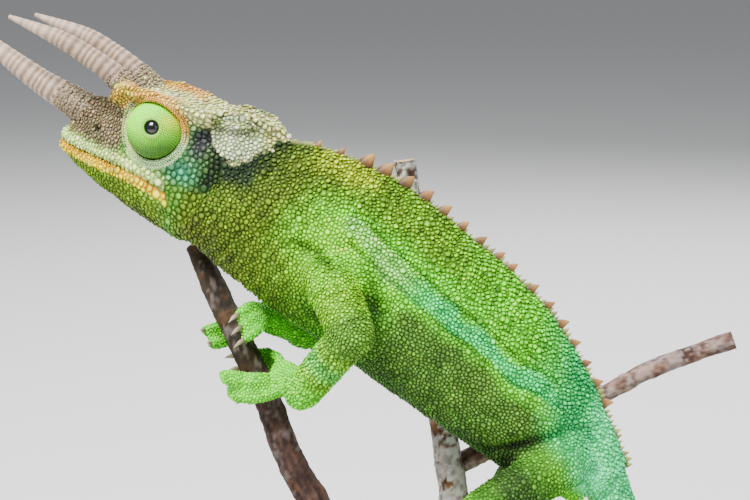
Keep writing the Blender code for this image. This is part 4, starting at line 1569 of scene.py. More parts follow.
@dataclass
class Coat:
    """The chameleon's scales: where they stand, how wide they are and their colours."""

    surface: Surface
    skin: Body
    node: Array
    most: int = 4700
    rounds: int = 9
    seed: int = 11
    crowd: float = 0.92
    variety: float = 0.24
    big_share: float = 0.06

    def span(self, points: Array, node: Array) -> Array:
        """Distance between neighbouring scales at each place, smallest on face and feet.

        Args:
            points: Places.
            node: Their flesh nodes.

        Returns:
            Distances.
        """
        width = region_values(node, "width")
        body, tail, head = on_body(node), within(node, Region.TAIL), within(node, Region.HEAD)
        height = ANIMAL.body(points[body])[1]
        width[body] *= 1 - 0.1 * smooth(-0.7, -1, height) + 0.1 * smooth(0.3, 0.7, height)
        width[tail] *= 1 - 0.45 * ANIMAL.tail(points[tail])
        u, left, v = ANIMAL.to_head(points[head]).T
        side = smooth(3, 5, np.abs(left))
        over = v - mouth_height(u)
        size = 1.15 - 0.35 * smooth(4, 9, u)
        size += 0.3 * hill(np.hypot(u + 4.5, v + 7), 5) * side
        size -= 0.25 * smooth(-3, -6, over)
        size -= 0.45 * hill(np.hypot(u, v) - 6.6, 1.3) * side
        size -= 0.3 * hill(over, 0.6) * smooth(-8, -6, u)
        size -= 0.3 * smooth(1.2, 1, temple_distance(u, v)) * side
        width[head] = np.maximum(size, 0.6)
        return width

    def scatter(self) -> tuple[Array, Array]:
        """Spread roots evenly over the surface for their spans, then let them settle apart.

        Returns:
            Roots and the span of each.
        """
        random = np.random.default_rng(self.seed)
        points, quads = self.surface.points, self.surface.quads
        a, b, c, d = points[quads.T]
        centre = (a + b + c + d) / 4
        area = 0.5 * np.linalg.norm(np.cross(c - a, d - b), axis=1)
        node = self.node[quads[:, 0]]
        ways, packed = ANIMAL.lie(centre, node), self.packed(centre, node)
        local = self.span(centre, node) * np.sqrt(packed)
        order = np.argsort(self.curve(centre), kind="stable")
        total = np.cumsum((area * packed / (self.crowd * local ** 2))[order])
        marks = np.arange(int(total[-1])) + random.uniform(0.2, 0.8, int(total[-1]))
        face = order[np.minimum(np.searchsorted(total, marks), len(order) - 1)]
        s, t = random.random((2, len(face), 1))
        roots = (a[face] * (1 - s) + b[face] * s) * (1 - t) + (d[face] * (1 - s) + c[face] * s) * t
        share = np.clip(random.lognormal(0, self.variety, len(face)), 0.62, 1.3)
        share = np.where(random.random(len(face)) < self.big_share, random.uniform(1.35, 1.85, len(face)), share)
        share = 1 + (share - 1) * np.where(within(node[face], Region.FEET), 0.5, 1)
        normals = unit(np.cross(c[face] - a[face], d[face] - b[face]))
        for _ in range(self.rounds):
            spans = local[face] * share
            first, second, gap = near_pairs(roots, float(spans.max()) * 1.1)
            offset = roots[first] - roots[second]
            along = dots(offset, ways[face[first]])
            gap = np.sqrt(gap ** 2 + along ** 2 * (packed[face[first]] ** 2 - 1))
            wanted = 0.54 * (spans[first] + spans[second])
            near = (gap < wanted) & (dots(normals[first], normals[second]) > 0.3)
            first, offset, gap, wanted = first[near], offset[near], gap[near], wanted[near]
            add_rows(roots, first, offset / np.maximum(gap, 1e-6)[:, None] * ((wanted - gap) * 0.36)[:, None])
            roots, normals, face = self.surface.snap(roots)
        return roots, local[face] * share

    def packed(self, points: Array, node: Array) -> Array:
        """How much closer scales stand along the lie than across it, more towards the crest.

        Args:
            points: Places.
            node: Their flesh nodes.

        Returns:
            Ratios.
        """
        ratio, body = region_values(node, "packing"), on_body(node)
        ratio[body] = 1 + 0.8 * smooth(0.2, 0.55, ANIMAL.body(points[body])[1])
        return ratio

    def bare(self, points: Array) -> Array:
        """Whether a place has no scale: inside the nostrils and between the lips.

        Args:
            points: Places.

        Returns:
            One answer for each place.
        """
        u, left, v = ANIMAL.to_head(points).T
        nostril = (nostril_distance(u, v) < 0.75) & (np.abs(left) > 2) & (np.abs(left) < 7)
        lips = (np.abs(v - mouth_height(u)) < 0.16) & (u > -6.5) & (u < 24) & (np.abs(left) < 12)
        return nostril | lips

    def curve(self, points: Array) -> Array:
        """Rank of each place along a curve that fills space.

        Args:
            points: Places.

        Returns:
            Ranks, near for neighbours.
        """
        grid = ((points - points.min(axis=0)) / 0.8).astype(np.int64)
        rank = np.zeros(len(points), np.int64)
        for bit, axis in itertools.product(range(10), range(3)):
            rank |= ((grid[:, axis] >> bit) & 1) << (3 * bit + axis)
        return rank

    def grow(self) -> None:
        """Make the scales of every region."""
        random = np.random.default_rng(self.seed + 1)
        roots, span = self.scatter()
        kept = ~self.bare(roots)
        span = span[kept]
        roots, normals, face = self.surface.snap(roots[kept])
        node = self.node[self.surface.quads[face, 0]]
        coat, head = animal_coat(roots, node), within(node, Region.HEAD)
        hues = 1 + random.normal(0, 0.05, (len(roots), 3)) * np.where(head, 1.7, 1)[:, None]
        coat[:, 1] = np.clip(coat[:, 1] * (random.lognormal(0, 0.3, (len(roots), 1)) * hues), 0, 1)
        maps = np.zeros(len(self.surface.quads) * 8, np.float32)
        self.skin.data.uv_layers["OFBake"].data.foreach_get("uv", maps)
        maps = maps.reshape(-1, 4, 2).mean(axis=1)[face]
        u, _, v = ANIMAL.to_head(roots).T
        rugged = 0.1 * head * np.clip(smooth(4, 5.5, v) + smooth(5, 8, u), 0, 1)
        rise = (0.22 + rugged) * random.lognormal(0.0, 0.22, len(roots))
        scales = Scales(roots, normals, span, ANIMAL.lie(roots, node), coat, maps,
                        np.minimum(rise * span, 0.34), self.packed(roots, node))
        LOG.info("%d scales", len(roots))
        finish = PaintedFinish("scale_tops", roughness=0.52, grain=0.25, grain_depth=0.015, specular=0.22)
        for region in Region:
            chosen = np.flatnonzero(within(node, region))
            parts = -(-len(chosen) // self.most)
            chosen = chosen[np.argsort(roots[chosen, 0], kind="stable")]
            for number, share in enumerate(np.array_split(chosen, parts)):
                piece = scales.piece(f"coat_{region.name.lower()}_{number + 1}", share)
                settle(piece, finish, "skin", *sorted({FLESH[owner] for owner in node[share]}))


# Eyes, horns, spines and claws

@dataclass
class Eye:
    """Cone-like turret covered with rings of small scales around a small opening, with the eyeball inside."""

    side: Side
    gaze: tuple
    radius: float = 5.95
    flatten: float = 0.86
    opening: float = 17.0
    row: float = 0.43
    ball: float = 1.95
    ball_depth: float = 0.5
    bead: float = 0.52
    bead_rows: tuple = (-30.0, 15.0, 60.0, 105.0, 150.0)
    fold_sizes: tuple = ((6.4, 0.5, 0.0, 360.0), (7.3, 0.3, 185.0, 290.0))
    fold_sides: int = 14
    lid_sides: int = 72
    ball_sides: int = 32

    def __post_init__(self) -> None:
        """Name the eye and work out its middle and its axes: two across the gaze and the gaze, in the head."""
        self.name = f"eye_{self.side.name.lower()}"
        self.middle = np.array([0.0, self.side.value * ANIMAL.eye_out, 0.0])
        gaze = unit(np.array(self.gaze))
        first = unit(np.cross(gaze, (0, 0, 1)))
        self.axes = np.stack([first, np.cross(gaze, first), gaze])
        self.edge = math.radians(self.opening)

    def build(self, skin: Surface) -> None:
        """Make turret, scales, eyeball and the folds of skin around the socket."""
        for make in (self.turret, self.scales, self.eyeball):
            make()
        self.folds(skin)

    def place(self, tilt: Array, turn: Array, lift: Array) -> Array:
        """Places on the turret.

        Args:
            tilt: Angle from the gaze in radians.
            turn: Angle around the gaze in radians.
            lift: Height over the turret.

        Returns:
            Places in the row frame.
        """
        local = np.stack([np.sin(tilt) * np.cos(turn), np.sin(tilt) * np.sin(turn), np.cos(tilt)], axis=-1)
        reach = (self.radius + lift)[..., None] * np.array([1.0, self.flatten, 1.0])
        return ANIMAL.from_head(self.middle + (local @ self.axes) * reach)

    def profile(self, tilt: Array) -> Array:
        """Height of the turret over its ellipsoid: fine rings, and a rim that dips into the opening.

        Args:
            tilt: Angles from the gaze.

        Returns:
            Heights.
        """
        groove = -0.05 * (0.5 - 0.5 * np.cos((tilt - self.edge) * self.radius / self.row * math.tau))
        rim = 0.12 * hill(tilt - self.edge - 0.05, 0.07)
        return groove * smooth(2.2, 1.6, tilt) + rim - 1.6 * smooth(self.edge, self.edge - 0.12, tilt) - 0.22

    def turret(self) -> None:
        """The lid that covers the eye, with its opening."""
        sides = self.lid_sides
        tilt = np.radians(join([np.linspace(3, 30, 36), np.linspace(31, 172, 120)]))
        grid_tilt, grid_turn = np.meshgrid(tilt, turns(sides), indexing="ij")
        points = self.place(grid_tilt, grid_turn, self.profile(grid_tilt)).reshape(-1, 3)
        points = join([points, [points[:sides].mean(axis=0), points[-sides:].mean(axis=0)]])
        inside = join([grid_tilt.ravel(), [0, 3]]) < self.edge - 0.02
        # Painted shade: near black inside the opening, the dark tone between the lid's scales elsewhere.
        paint = np.where(inside[:, None], (0.02, 0.02, 0.01), self.tones(points)[:, 0])
        faces = [ring_quads(len(tilt), sides)[:, [0, 3, 2, 1]], ring_caps(len(tilt), sides)[:, [1, 0, 2]]]
        body = write_mesh(self.name + "_lid", points, faces, paint)
        settle(body, PaintedFinish(self.name + "_lid_skin"), "eye", self.name)

    def tones(self, points: Array) -> Array:
        """Colours of the turret, darker on the lower and rear side, partly its own colour and partly painted shade.

        Args:
            points: Places.

        Returns:
            Coat.
        """
        u, _, v = ANIMAL.to_head(points).T
        # Lower and rear side darker: partly its own colour, partly painted shade.
        low = np.clip(smooth(1.5, -5, v) + 0.6 * smooth(1, -5.5, u), 0, 1)
        local = (ANIMAL.to_head(points) - self.middle) / (1, self.flatten, 1)
        tilt = np.arccos(np.clip(unit(local) @ self.axes[2], -1, 1))
        coat = lay(Tone.LID_TOP.base(points), (Tone.LID_LOW, low * 0.85),
                   (Tone.LIP_YELLOW, hill(np.hypot(u + 3.6, v - 3.6), 2) * 0.5))
        gold = hill(tilt - math.radians(self.opening + 2), 0.06)
        return mix(coat, (0.3, 0.32, 0.06), (gold * 0.6)[:, None])

    def scales(self) -> None:
        """Rings of small scales over the turret."""
        random = np.random.default_rng(5)
        tilts, turning = [], []
        tilt = self.edge + 0.07
        while tilt < math.radians(132):
            wide = self.row * (1 + 0.25 * min(tilt, 1.2))
            count = max(12, round(math.tau * self.radius * math.sin(tilt) / wide))
            turning.append((np.arange(count) + random.random()) * math.tau / count)
            tilts.append(np.full(count, tilt))
            tilt += wide * 0.93 / self.radius
        tilt, turn = join(tilts), join(turning)
        tilt = tilt + random.normal(0, 0.006, len(tilt))
        roots, ahead, aside = (self.place(tilt + down, turn + around, self.profile(tilt))
                               for down, around in ((0, 0), (0.02, 0), (0, 0.02)))
        normals = unit(np.cross(ahead - roots, aside - roots))
        normals *= np.sign(dots(roots - ANIMAL.from_head(self.middle), normals))[:, None]
        span = self.row * (1 + 0.25 * np.minimum(tilt, 1.2))
        coat = self.tones(roots)
        coat[:, 0] = mix(coat[:, 0], coat[:, 1], 0.3)
        coat[:, 1] *= random.normal(1, 0.07, (len(roots), 1))
        maps = np.stack([turn / math.tau, tilt / 2.4], axis=1) * 0.9 + 0.05
        piece = Scales(roots, normals, span, ahead - roots, coat, maps, 0.17 * span, seam=0.05).piece(
            self.name + "_scales")
        finish = PaintedFinish(self.name + "_scale_tops", roughness=0.45, specular=0.3)
        settle(piece, finish, "eye", self.name)

    def folds(self, skin: Surface) -> None:
        """Folds of skin that close the gap between turret and socket.

        Args:
            skin: The folded surface of the skin.
        """
        turn, ring = turns(120), turns(self.fold_sides)[None, :, None]
        out = np.stack([np.cos(turn), np.zeros(len(turn)), np.sin(turn)], axis=1)
        up = np.array([0.0, float(self.side.value), 0.0])
        points, faces, paints = [], [], []
        for number, (radius, thick, low, high) in enumerate(self.fold_sizes):
            level = self.levels(skin, turn, radius)
            rise = np.clip((np.abs(level) - ANIMAL.eye_out) / (self.radius * self.flatten), -0.95, 0)
            path = out * ((radius - self.radius) + self.radius * np.sqrt(1 - rise ** 2))[:, None]
            path[:, 1] = level - 0.1 * self.side.value
            fade = band(np.degrees(turn), low - 25, low, high, high + 25) if high - low < 360 else 1
            width = thick * (0.12 + 0.88 * fade) * np.ones(len(turn))
            tube_points = path[:, None] + (out[:, None] * np.cos(ring) + up * np.sin(ring) * 0.9) * width[:, None, None]
            tube_points = ANIMAL.from_head(tube_points.reshape(-1, 3))
            centre = np.repeat(ANIMAL.from_head(path), self.fold_sides, axis=0)
            points.append(centre + (tube_points - centre) * (1 + 0.12 * lumps(tube_points, 0.45, 41))[:, None])
            faces.append(ring_quads(len(turn), self.fold_sides, closed=True) + number * len(centre))
            coat = self.fold_tones(np.repeat(np.degrees(turn), self.fold_sides))
            paints.append(mix(coat[:, 0], coat[:, 1], 0.5))
            self.fold_beads(path, out, up, width, turn, number + 1)
        body = tidy(write_mesh(f"eye_fold_{self.side.name.lower()}", join(points), [join(faces)],
                               join(paints)))
        settle(body, PaintedFinish(body.name + "_skin"), "skin", "head")

    def levels(self, skin: Surface, turn: Array, radius: float) -> Array:
        """How far out the skin lies around the socket.

        Args:
            skin: The folded surface of the skin.
            turn: Angles around the socket.
            radius: Distance from the socket's middle.

        Returns:
            Place on the head's left axis for each angle.
        """
        reach = 9 * self.side.value
        inward = ANIMAL.from_head((0, -self.side.value, 0)) - ANIMAL.from_head((0, 0, 0))
        level = []
        for angle in turn:
            place = (radius * 1.05 * math.cos(angle), reach * 1.7, radius * 1.05 * math.sin(angle))
            hit = skin.tree.ray_cast(Vector(ANIMAL.from_head(place)), Vector(inward))[0]
            level.append(ANIMAL.to_head(np.array(hit)[None])[0, 1] if hit else reach)
        for _ in range(24):
            level = (np.roll(level, 1) + 2.0 * np.array(level) + np.roll(level, -1)) / 4.0
        return level

    def fold_tones(self, degrees: Array) -> Array:
        """Coat around the socket: golden above, pale behind, mint below in front."""
        mint = np.maximum(smooth(265, 300, degrees), smooth(20, 0, degrees))
        return lay(Tone.CRESCENT.base(degrees), (Tone.RIM, band(degrees, 10, 40, 150, 185)),
                   (Tone.LIP_MINT, 0.8 * mint))

    def fold_beads(self, path: Array, out: Array, up: Array, width: Array, turn: Array, number: int) -> None:
        """Rows of beads over one fold.

        Args:
            path: The fold's middle line in head coordinates.
            out: Directions away from the socket.
            up: Direction away from the head.
            width: The fold's radius along its line.
            turn: Angle of each place on the line.
            number: Number of the fold.
        """
        random = np.random.default_rng(number)
        found = []
        for row, tilt in enumerate(np.radians(self.bead_rows)):
            count = int(math.tau * 6.5 / self.bead)
            spot = (np.arange(count) + 0.5 * (row % 2) + random.uniform(-0.2, 0.2, count)) * len(turn) / count
            low, share = spot.astype(int) % len(turn), (spot % 1)[:, None]
            high = (low + 1) % len(turn)
            facing = unit(out[low] * math.cos(tilt) + up * math.sin(tilt))
            root = path[low] * (1 - share) + path[high] * share + facing * width[low][:, None] * 0.97
            found.append((root, facing, path[high] - path[low], np.degrees(turn[low])))
        roots, normals, ways, spots = (join(block) for block in zip(*found))
        origin = ANIMAL.from_head(np.zeros((1, 3)))
        normals, ways = (ANIMAL.from_head(block) - origin for block in (normals, ways))
        span = self.bead * random.uniform(0.85, 1.2, len(roots))
        coat = self.fold_tones(spots)
        maps = np.stack([spots / 360, np.linspace(0.05, 0.95, len(spots))], axis=1)
        coat[:, 1] = np.clip(coat[:, 1] * random.normal(1, 0.12, (len(roots), 1)), 0, 1)
        body = Scales(ANIMAL.from_head(roots), normals, span, ways, coat, maps, 0.3 * span).piece(
            f"eye_beads_{self.side.name.lower()}_{number}")
        settle(body, PaintedFinish(body.name + "_tops"), "skin", "head")

    def eyeball(self) -> None:
        """Glossy dome with a narrow golden iris around the pupil, a closed cap and a closed belt."""
        across, aside, gaze = self.axes @ ANIMAL.head_axes().T
        centre = self.place(np.zeros(1), np.zeros(1), np.full(1, -self.ball_depth))[0] - gaze * self.ball
        radii = join([np.full(10, self.ball), np.full(2, self.ball * 0.7)])[:, None, None]
        turn = turns(self.ball_sides)[None, :, None]
        for part, low, high, colour, roughness in (("pupil", 0, 52, (0.004, 0.004, 0.005), 0.2),
                                                   ("iris", 52, 85, (0.16, 0.09, 0.02), 0.08)):
            outer = np.radians(np.linspace(low, high, 10))
            tilt = join([outer, outer[[-1, 0]]])[:, None, None]
            local = np.sin(tilt) * (np.cos(turn) * across + np.sin(turn) * aside) + np.cos(tilt) * gaze
            quads = ring_quads(len(tilt), self.ball_sides, closed=True)
            body = tidy(write_mesh(f"{self.name}_{part}", (centre + local * radii).reshape(-1, 3), [quads]))
            settle(body, PlainFinish(body.name + "_gloss", colour, roughness, coat=0.6), "eye", self.name)


@dataclass
class Horn:
    """Ringed horn along a bent path in head coordinates."""

    name: str
    dark: Colour
    bright: Colour
    collar_to: float
    collar_from: float = 4.0
    ring: float = 1.25
    ring_depth: float = 0.05
    sides: int = 30
    inset: float = 0.955

    def build(self) -> None:
        """Make the horn, its rings painted darker in their grooves as painted shade."""
        path, radii, travelled = ANIMAL.horn_line(self.name)
        share, turn = travelled / travelled[-1], turns(self.sides)
        wobble = lumps(np.stack([np.cos(turn) * 2, np.sin(turn) * 2, np.zeros(self.sides)], axis=1), 1.1, 20)
        phase = travelled[:, None] / self.ring * (1 - 0.15 * share[:, None]) + 0.35 * wobble[None]
        phase = phase + 0.25 * np.sin(travelled * 0.9)[:, None]
        wave = 0.5 - 0.5 * np.cos(phase * math.tau)
        groove = (1 - wave ** 0.6) * self.ring_depth * smooth(1, 0.8, share)[:, None]
        points, faces = tube(path, (radii * self.inset)[:, None] * (1 - groove), self.sides)
        axis = to_corners(path, self.sides)
        points = axis + (points - axis) * np.minimum(1 + 0.03 * lumps(points, 0.7, 21), 1)[:, None]
        # Painted shade: the rings are darker in their grooves.
        paint = mix(self.dark, self.bright, join([(wave * 0.85 + 0.1).ravel(), [0.5, 0.9]]))
        paint = mix(paint, (0.62, 0.47, 0.39), 0.4 * smooth(0.45, 1, to_corners(share, self.sides)))
        paint *= (1 + 0.16 * lumps(points, 2.3, 22) + 0.1 * lumps(points, 0.6, 23))[:, None]
        body = tidy(write_mesh(self.name + "_ringed", points, faces, paint))
        finish = PaintedFinish(self.name + "_sheath", roughness=0.55, grain=0.5, grain_depth=0.05)
        settle(body, finish, "horn", self.name)

    def collar(self, skin: Surface) -> None:
        """Tubercles of the snout or brow that climb over the horn's base.

        Args:
            skin: The folded surface of the skin, which hides the lowest ones.
        """
        random = np.random.default_rng(12)
        path, radii, travelled = ANIMAL.horn_line(self.name)
        radii = radii * self.inset
        ahead = ahead_of(path)
        side = unit(np.cross(ahead, UP_HINT))
        lift = np.cross(ahead, side)
        found, along = [], 0.5
        while along < self.collar_to:
            fade = max(0, along - self.collar_from) / (self.collar_to - self.collar_from)
            span = 0.85 - 0.35 * fade
            index = int(np.searchsorted(travelled, along))
            count = int(math.tau * radii[index] / span)
            for turn in (np.arange(count) + random.random()) * math.tau / count:
                if random.random() < fade ** 1.5:
                    continue
                out = side[index] * math.cos(turn) + lift[index] * math.sin(turn)
                root = path[index] + out * radii[index] * 0.985 + ahead[index] * random.normal(0, 0.1)
                found.append((root, out, ahead[index], span * random.uniform(0.8, 1.25)))
            along += span * 0.88
        roots, normals, ways, spans = (np.array(block) for block in zip(*found))
        place, outward, _ = skin.snap(roots)
        clear = dots(roots - place, outward) > 0.12
        roots, spans, normals, ways = roots[clear], spans[clear], normals[clear], ways[clear]
        coat = Tone.SNOUT.base(roots)
        coat[:, 1] *= random.normal(1, 0.12, (len(roots), 1))
        maps = np.stack([spans * 0 + 0.5, np.linspace(0.02, 0.98, len(roots))], axis=1)
        body = Scales(roots, normals, spans, ways, coat, maps, 0.3 * spans).piece(self.name + "_collar")
        settle(body, PaintedFinish(body.name + "_scales"), "skin", self.name)


@dataclass
class Cones:
    """Small joined cones: crest spines or claws."""

    name: str
    spikes: list
    stem: float
    width: float
    narrow: float
    dark: Colour
    bright: Colour
    roughness: float
    curve: float = 0.0
    short: float = 0.04
    sides: int = 10
    profile: tuple = (1.0, 0.99, 0.93, 0.8, 0.6, 0.34, 0.08)

    def build(self) -> None:
        """Make the cones, each a closed bent tube that ends in a point."""
        random = np.random.default_rng(len(self.spikes))
        share, flat = np.linspace(0.0, 1.0, len(self.profile)), np.array([0.0, 1.0, 0.0])
        points, walls, caps, paints = [], [], [], []
        for spike in self.spikes:
            axis, length = unit(spike.tip - spike.root), np.linalg.norm(spike.tip - spike.root)
            start, end = spike.root - axis * self.stem, spike.tip - axis * self.short * length
            path = start + (end - start) * share[:, None]
            path[:, 2] += self.curve * length * np.sin(share * math.pi)
            corners, faces = tube(path, np.array(self.profile) * self.width * length, self.sides)
            middle = to_corners(path, self.sides)
            offset = corners - middle
            offset -= (offset @ flat)[:, None] * flat * (1 - self.narrow)
            for block, part in zip((walls, caps), faces):
                block.append(part + len(points) * len(corners))
            points.append(middle + offset)
            paint = mix(self.dark, self.bright, smooth(0.15, 0.85, to_corners(share, self.sides)))
            paints.append(paint * random.uniform(0.8, 1.25) * random.uniform(0.94, 1.06, 3))
        points, walls, caps, paints = (join(block) for block in (points, walls, caps, paints))
        body = tidy(write_mesh(self.name, points, [walls, caps], paints))
        finish = PaintedFinish(self.name + "_horn", roughness=self.roughness, grain=0.4)
        settle(body, finish, "skin", *sorted({spike.node for spike in self.spikes}))


def crest_burrs() -> list[Spike]:
    """Small pointed scales in a row along the crest, between the spines.

    Returns:
        One spike for each scale.
    """
    random = np.random.default_rng(8)
    table = catmull(ANIMAL.stations, 12 * 8 + 1)
    burrs = []
    for station in range(8, len(table) - 3):
        x, z, depth, lean = table[station]
        rise = np.array([math.cos(math.radians(lean)), 0.0, math.sin(math.radians(lean))])
        back = np.array([rise[2], 0.0, -rise[0]])
        root = np.array([x, 0.0, z]) + rise * (depth - 0.7)
        height = random.uniform(0.9, 1.7)
        node = "neck" if station < 21 else "trunk_front" if station < 52 else "trunk_rear"
        burrs.append(Spike(node, root + rise * height + back * 0.5 * height, root))
    return burrs


# Perch and stand

@dataclass
class Stem:
    """A cut length of branch with rough bark, knobs and pale cut ends."""

    name: str
    path: tuple
    radii: tuple
    bark: tuple
    upper_bark: tuple
    change: float
    patches: Colour
    patch_share: float
    knobs: float = 0.0
    inset: float = 0.955
    sides: int = 44
    pitch: float = 0.55
    cut_steps: tuple = (0.9, 0.6, 0.3)
    cut_shifts: tuple = (0.01, 0.02, 0.03)

    def build(self) -> Body:
        """Make the stem.

        Returns:
            The finished stem.
        """
        rough = catmull(self.path, 400)
        travelled = travel(rough)
        place = np.linspace(0, travelled[-1], int(travelled[-1] / self.pitch))
        path = np.stack([np.interp(place, travelled, column) for column in rough.T], axis=1)
        radii = np.interp(place, travelled, catmull(np.array(self.radii)[:, None], 400)[:, 0]) * self.inset
        steps, shift = np.array(self.cut_steps), np.array(self.cut_shifts)[:, None]
        front, back = unit(path[0] - path[1]), unit(path[-1] - path[-2])
        cut = np.pad(np.zeros(len(path), bool), len(steps), constant_values=True)
        path = join([path[0] + front * shift[::-1], path, path[-1] + back * shift])
        radii = join([radii[0] * steps[::-1], radii, radii[-1] * steps])
        points, faces = tube(path, radii, self.sides)
        axis, bark_part = to_corners(path, self.sides), to_corners(~cut, self.sides)
        turn = join([np.tile(turns(self.sides), len(path)), [0, 0]])
        run = to_corners(travel(path), self.sides)
        furrow = lumps(np.stack([np.cos(turn) * 3.4, np.sin(turn) * 3.4, run * 0.22], axis=1), 0.8, 30)
        plates, grain = lumps(points, 2.4, 31), lumps(points, 0.8, 32)
        wart = smooth(0.25, 0.6, lumps(points, 1.9, 33)) * self.knobs
        low = 0.04 * (1 - furrow) + 0.055 * (1 - plates) + 0.045 * (1 - grain) - 0.06 * wart
        shrink = np.where(bark_part, np.clip(low + 0.05 * (self.knobs > 0), 0, 0.2), 0)
        points = axis + (points - axis) * (1 - shrink)[:, None]
        paint = self.colours(points, run / run[-1], 0.35 * furrow + 0.3 * plates, grain, wart)
        rings = np.cos(np.linalg.norm(points - axis, axis=1) * 9)
        paint = np.where(bark_part[:, None], paint, np.array((0.42, 0.29, 0.16)) * (0.85 + 0.15 * rings)[:, None])
        body = tidy(write_mesh(self.name + "_bark", points, faces, paint))
        finish = PaintedFinish(self.name + "_bark", roughness=0.8, grain=0.5, grain_depth=0.12, specular=0.25)
        settle(body, finish, "bark", self.name)
        return body

    def colours(self, points: Array, share: Array, relief: Array, grain: Array, wart: Array) -> Array:
        """Bark colours: painted shade in the furrows and between plates, patches of crust and paler knobs.

        Args:
            points: Places.
            share: Share of the stem's length.
            relief: Furrows and plates.
            grain: Fine lumps.
            wart: Share of knob.

        Returns:
            Colours.
        """
        upper = smooth(-0.06, 0.06, share - self.change)
        low, high = (mix(self.bark[k], self.upper_bark[k], upper) for k in (0, 1))
        # Painted shade: darker where furrows, plates and grain sink.
        paint = mix(low, high, np.clip(0.5 + relief + 0.3 * grain, 0, 1))
        crust = smooth(0.62 - self.patch_share, 0.8 - self.patch_share,
                       0.5 + 0.42 * lumps(points, 3, 34) + 0.3 * grain)
        paint = mix(paint, self.patches, crust * (0.65 + 0.35 * smooth(-0.4, 0.6, grain)))
        rust = smooth(0.3, 0.5, lumps(points, 1.5, 35)) * smooth(0.5, -0.1, crust)
        paint = mix(paint, (0.14, 0.055, 0.02), 0.3 * rust)
        paint *= (1 - 0.5 * smooth(0.1, 0.5, lumps(points, 0.9, 36)))[:, None]
        return mix(paint, (0.4, 0.26, 0.2), 0.5 * wart)


@dataclass
class Lichen:
    """Raised flakes scattered over a stem."""

    stem: Body
    node: str
    name: str = "lichen_flakes"
    radius: float = 0.5
    thickness: float = 0.12
    density: float = 0.1
    seed: int = 4

    def tree(self) -> tuple[bpy.types.NodeTree, dict[str, str]]:
        """Node tree that scatters flakes.

        Returns:
            The tree and its inputs' identifiers by name.
        """
        tree = bpy.data.node_groups.new(self.name + "_scatter", "GeometryNodeTree")
        named = {label: tree.interface.new_socket(label, in_out="INPUT", socket_type="NodeSocket" + kind).identifier
                 for label, kind in (("Geometry", "Geometry"), ("Flake radius", "Float"), ("Flake thickness", "Float"),
                                     ("Flakes per area", "Float"), ("Seed", "Int"), ("Finish", "Material"))}
        tree.interface.new_socket("Geometry", in_out="OUTPUT", socket_type="NodeSocketGeometry")
        nodes = {label: tree.nodes.new(kind) for label, kind in (
            ("given", "NodeGroupInput"), ("made", "NodeGroupOutput"),
            ("scatter", "GeometryNodeDistributePointsOnFaces"), ("flake", "GeometryNodeMeshIcoSphere"),
            ("flatten", "GeometryNodeTransform"), ("squash", "ShaderNodeCombineXYZ"), ("ratio", "ShaderNodeMath"),
            ("sizes", "FunctionNodeRandomValue"), ("place", "GeometryNodeInstanceOnPoints"),
            ("real", "GeometryNodeRealizeInstances"), ("dress", "GeometryNodeSetMaterial"))}
        nodes["ratio"].operation = "DIVIDE"
        nodes["sizes"].data_type = "FLOAT"
        for label, socket, value in (("flake", "Subdivisions", 2), ("squash", "X", 1.0), ("squash", "Y", 1.0),
                                     ("sizes", 2, 0.35), ("sizes", 3, 1)):
            nodes[label].inputs[socket].default_value = value
        for source, output, target, entry in (
                ("given", "Geometry", "scatter", "Mesh"), ("given", "Flakes per area", "scatter", "Density"),
                ("given", "Seed", "scatter", "Seed"), ("given", "Flake radius", "flake", "Radius"),
                ("given", "Flake thickness", "ratio", 0), ("given", "Flake radius", "ratio", 1),
                ("ratio", 0, "squash", "Z"), ("flake", "Mesh", "flatten", "Geometry"),
                ("squash", 0, "flatten", "Scale"), ("given", "Seed", "sizes", "Seed"),
                ("scatter", "Points", "place", "Points"), ("scatter", "Rotation", "place", "Rotation"),
                ("flatten", 0, "place", "Instance"), ("sizes", 1, "place", "Scale"),
                ("place", "Instances", "real", "Geometry"), ("real", "Geometry", "dress", "Geometry"),
                ("given", "Finish", "dress", "Material"), ("dress", "Geometry", "made", "Geometry")):
            tree.links.new(nodes[source].outputs[output], nodes[target].inputs[entry])
        return tree, named

    def build(self) -> None:
        """Scatter the flakes and keep them as a plain mesh."""
        tree, named = self.tree()
        body = link(self.name, self.stem.data.copy())
        modifier = body.modifiers.new("flakes", "NODES")
        modifier.node_group = tree
        for label, value in (("Flake radius", self.radius * MM), ("Flake thickness", self.thickness * MM),
                             ("Flakes per area", self.density / MM ** 2), ("Seed", self.seed),
                             ("Finish", LichenFinish(self.name + "_crust").material())):
            modifier[named[label]] = value
        plain = bpy.data.meshes.new_from_object(body.evaluated_get(bpy.context.evaluated_depsgraph_get()))
        body.modifiers.remove(modifier)
        body.data = plain
        settle(body, None, "bark", self.node)


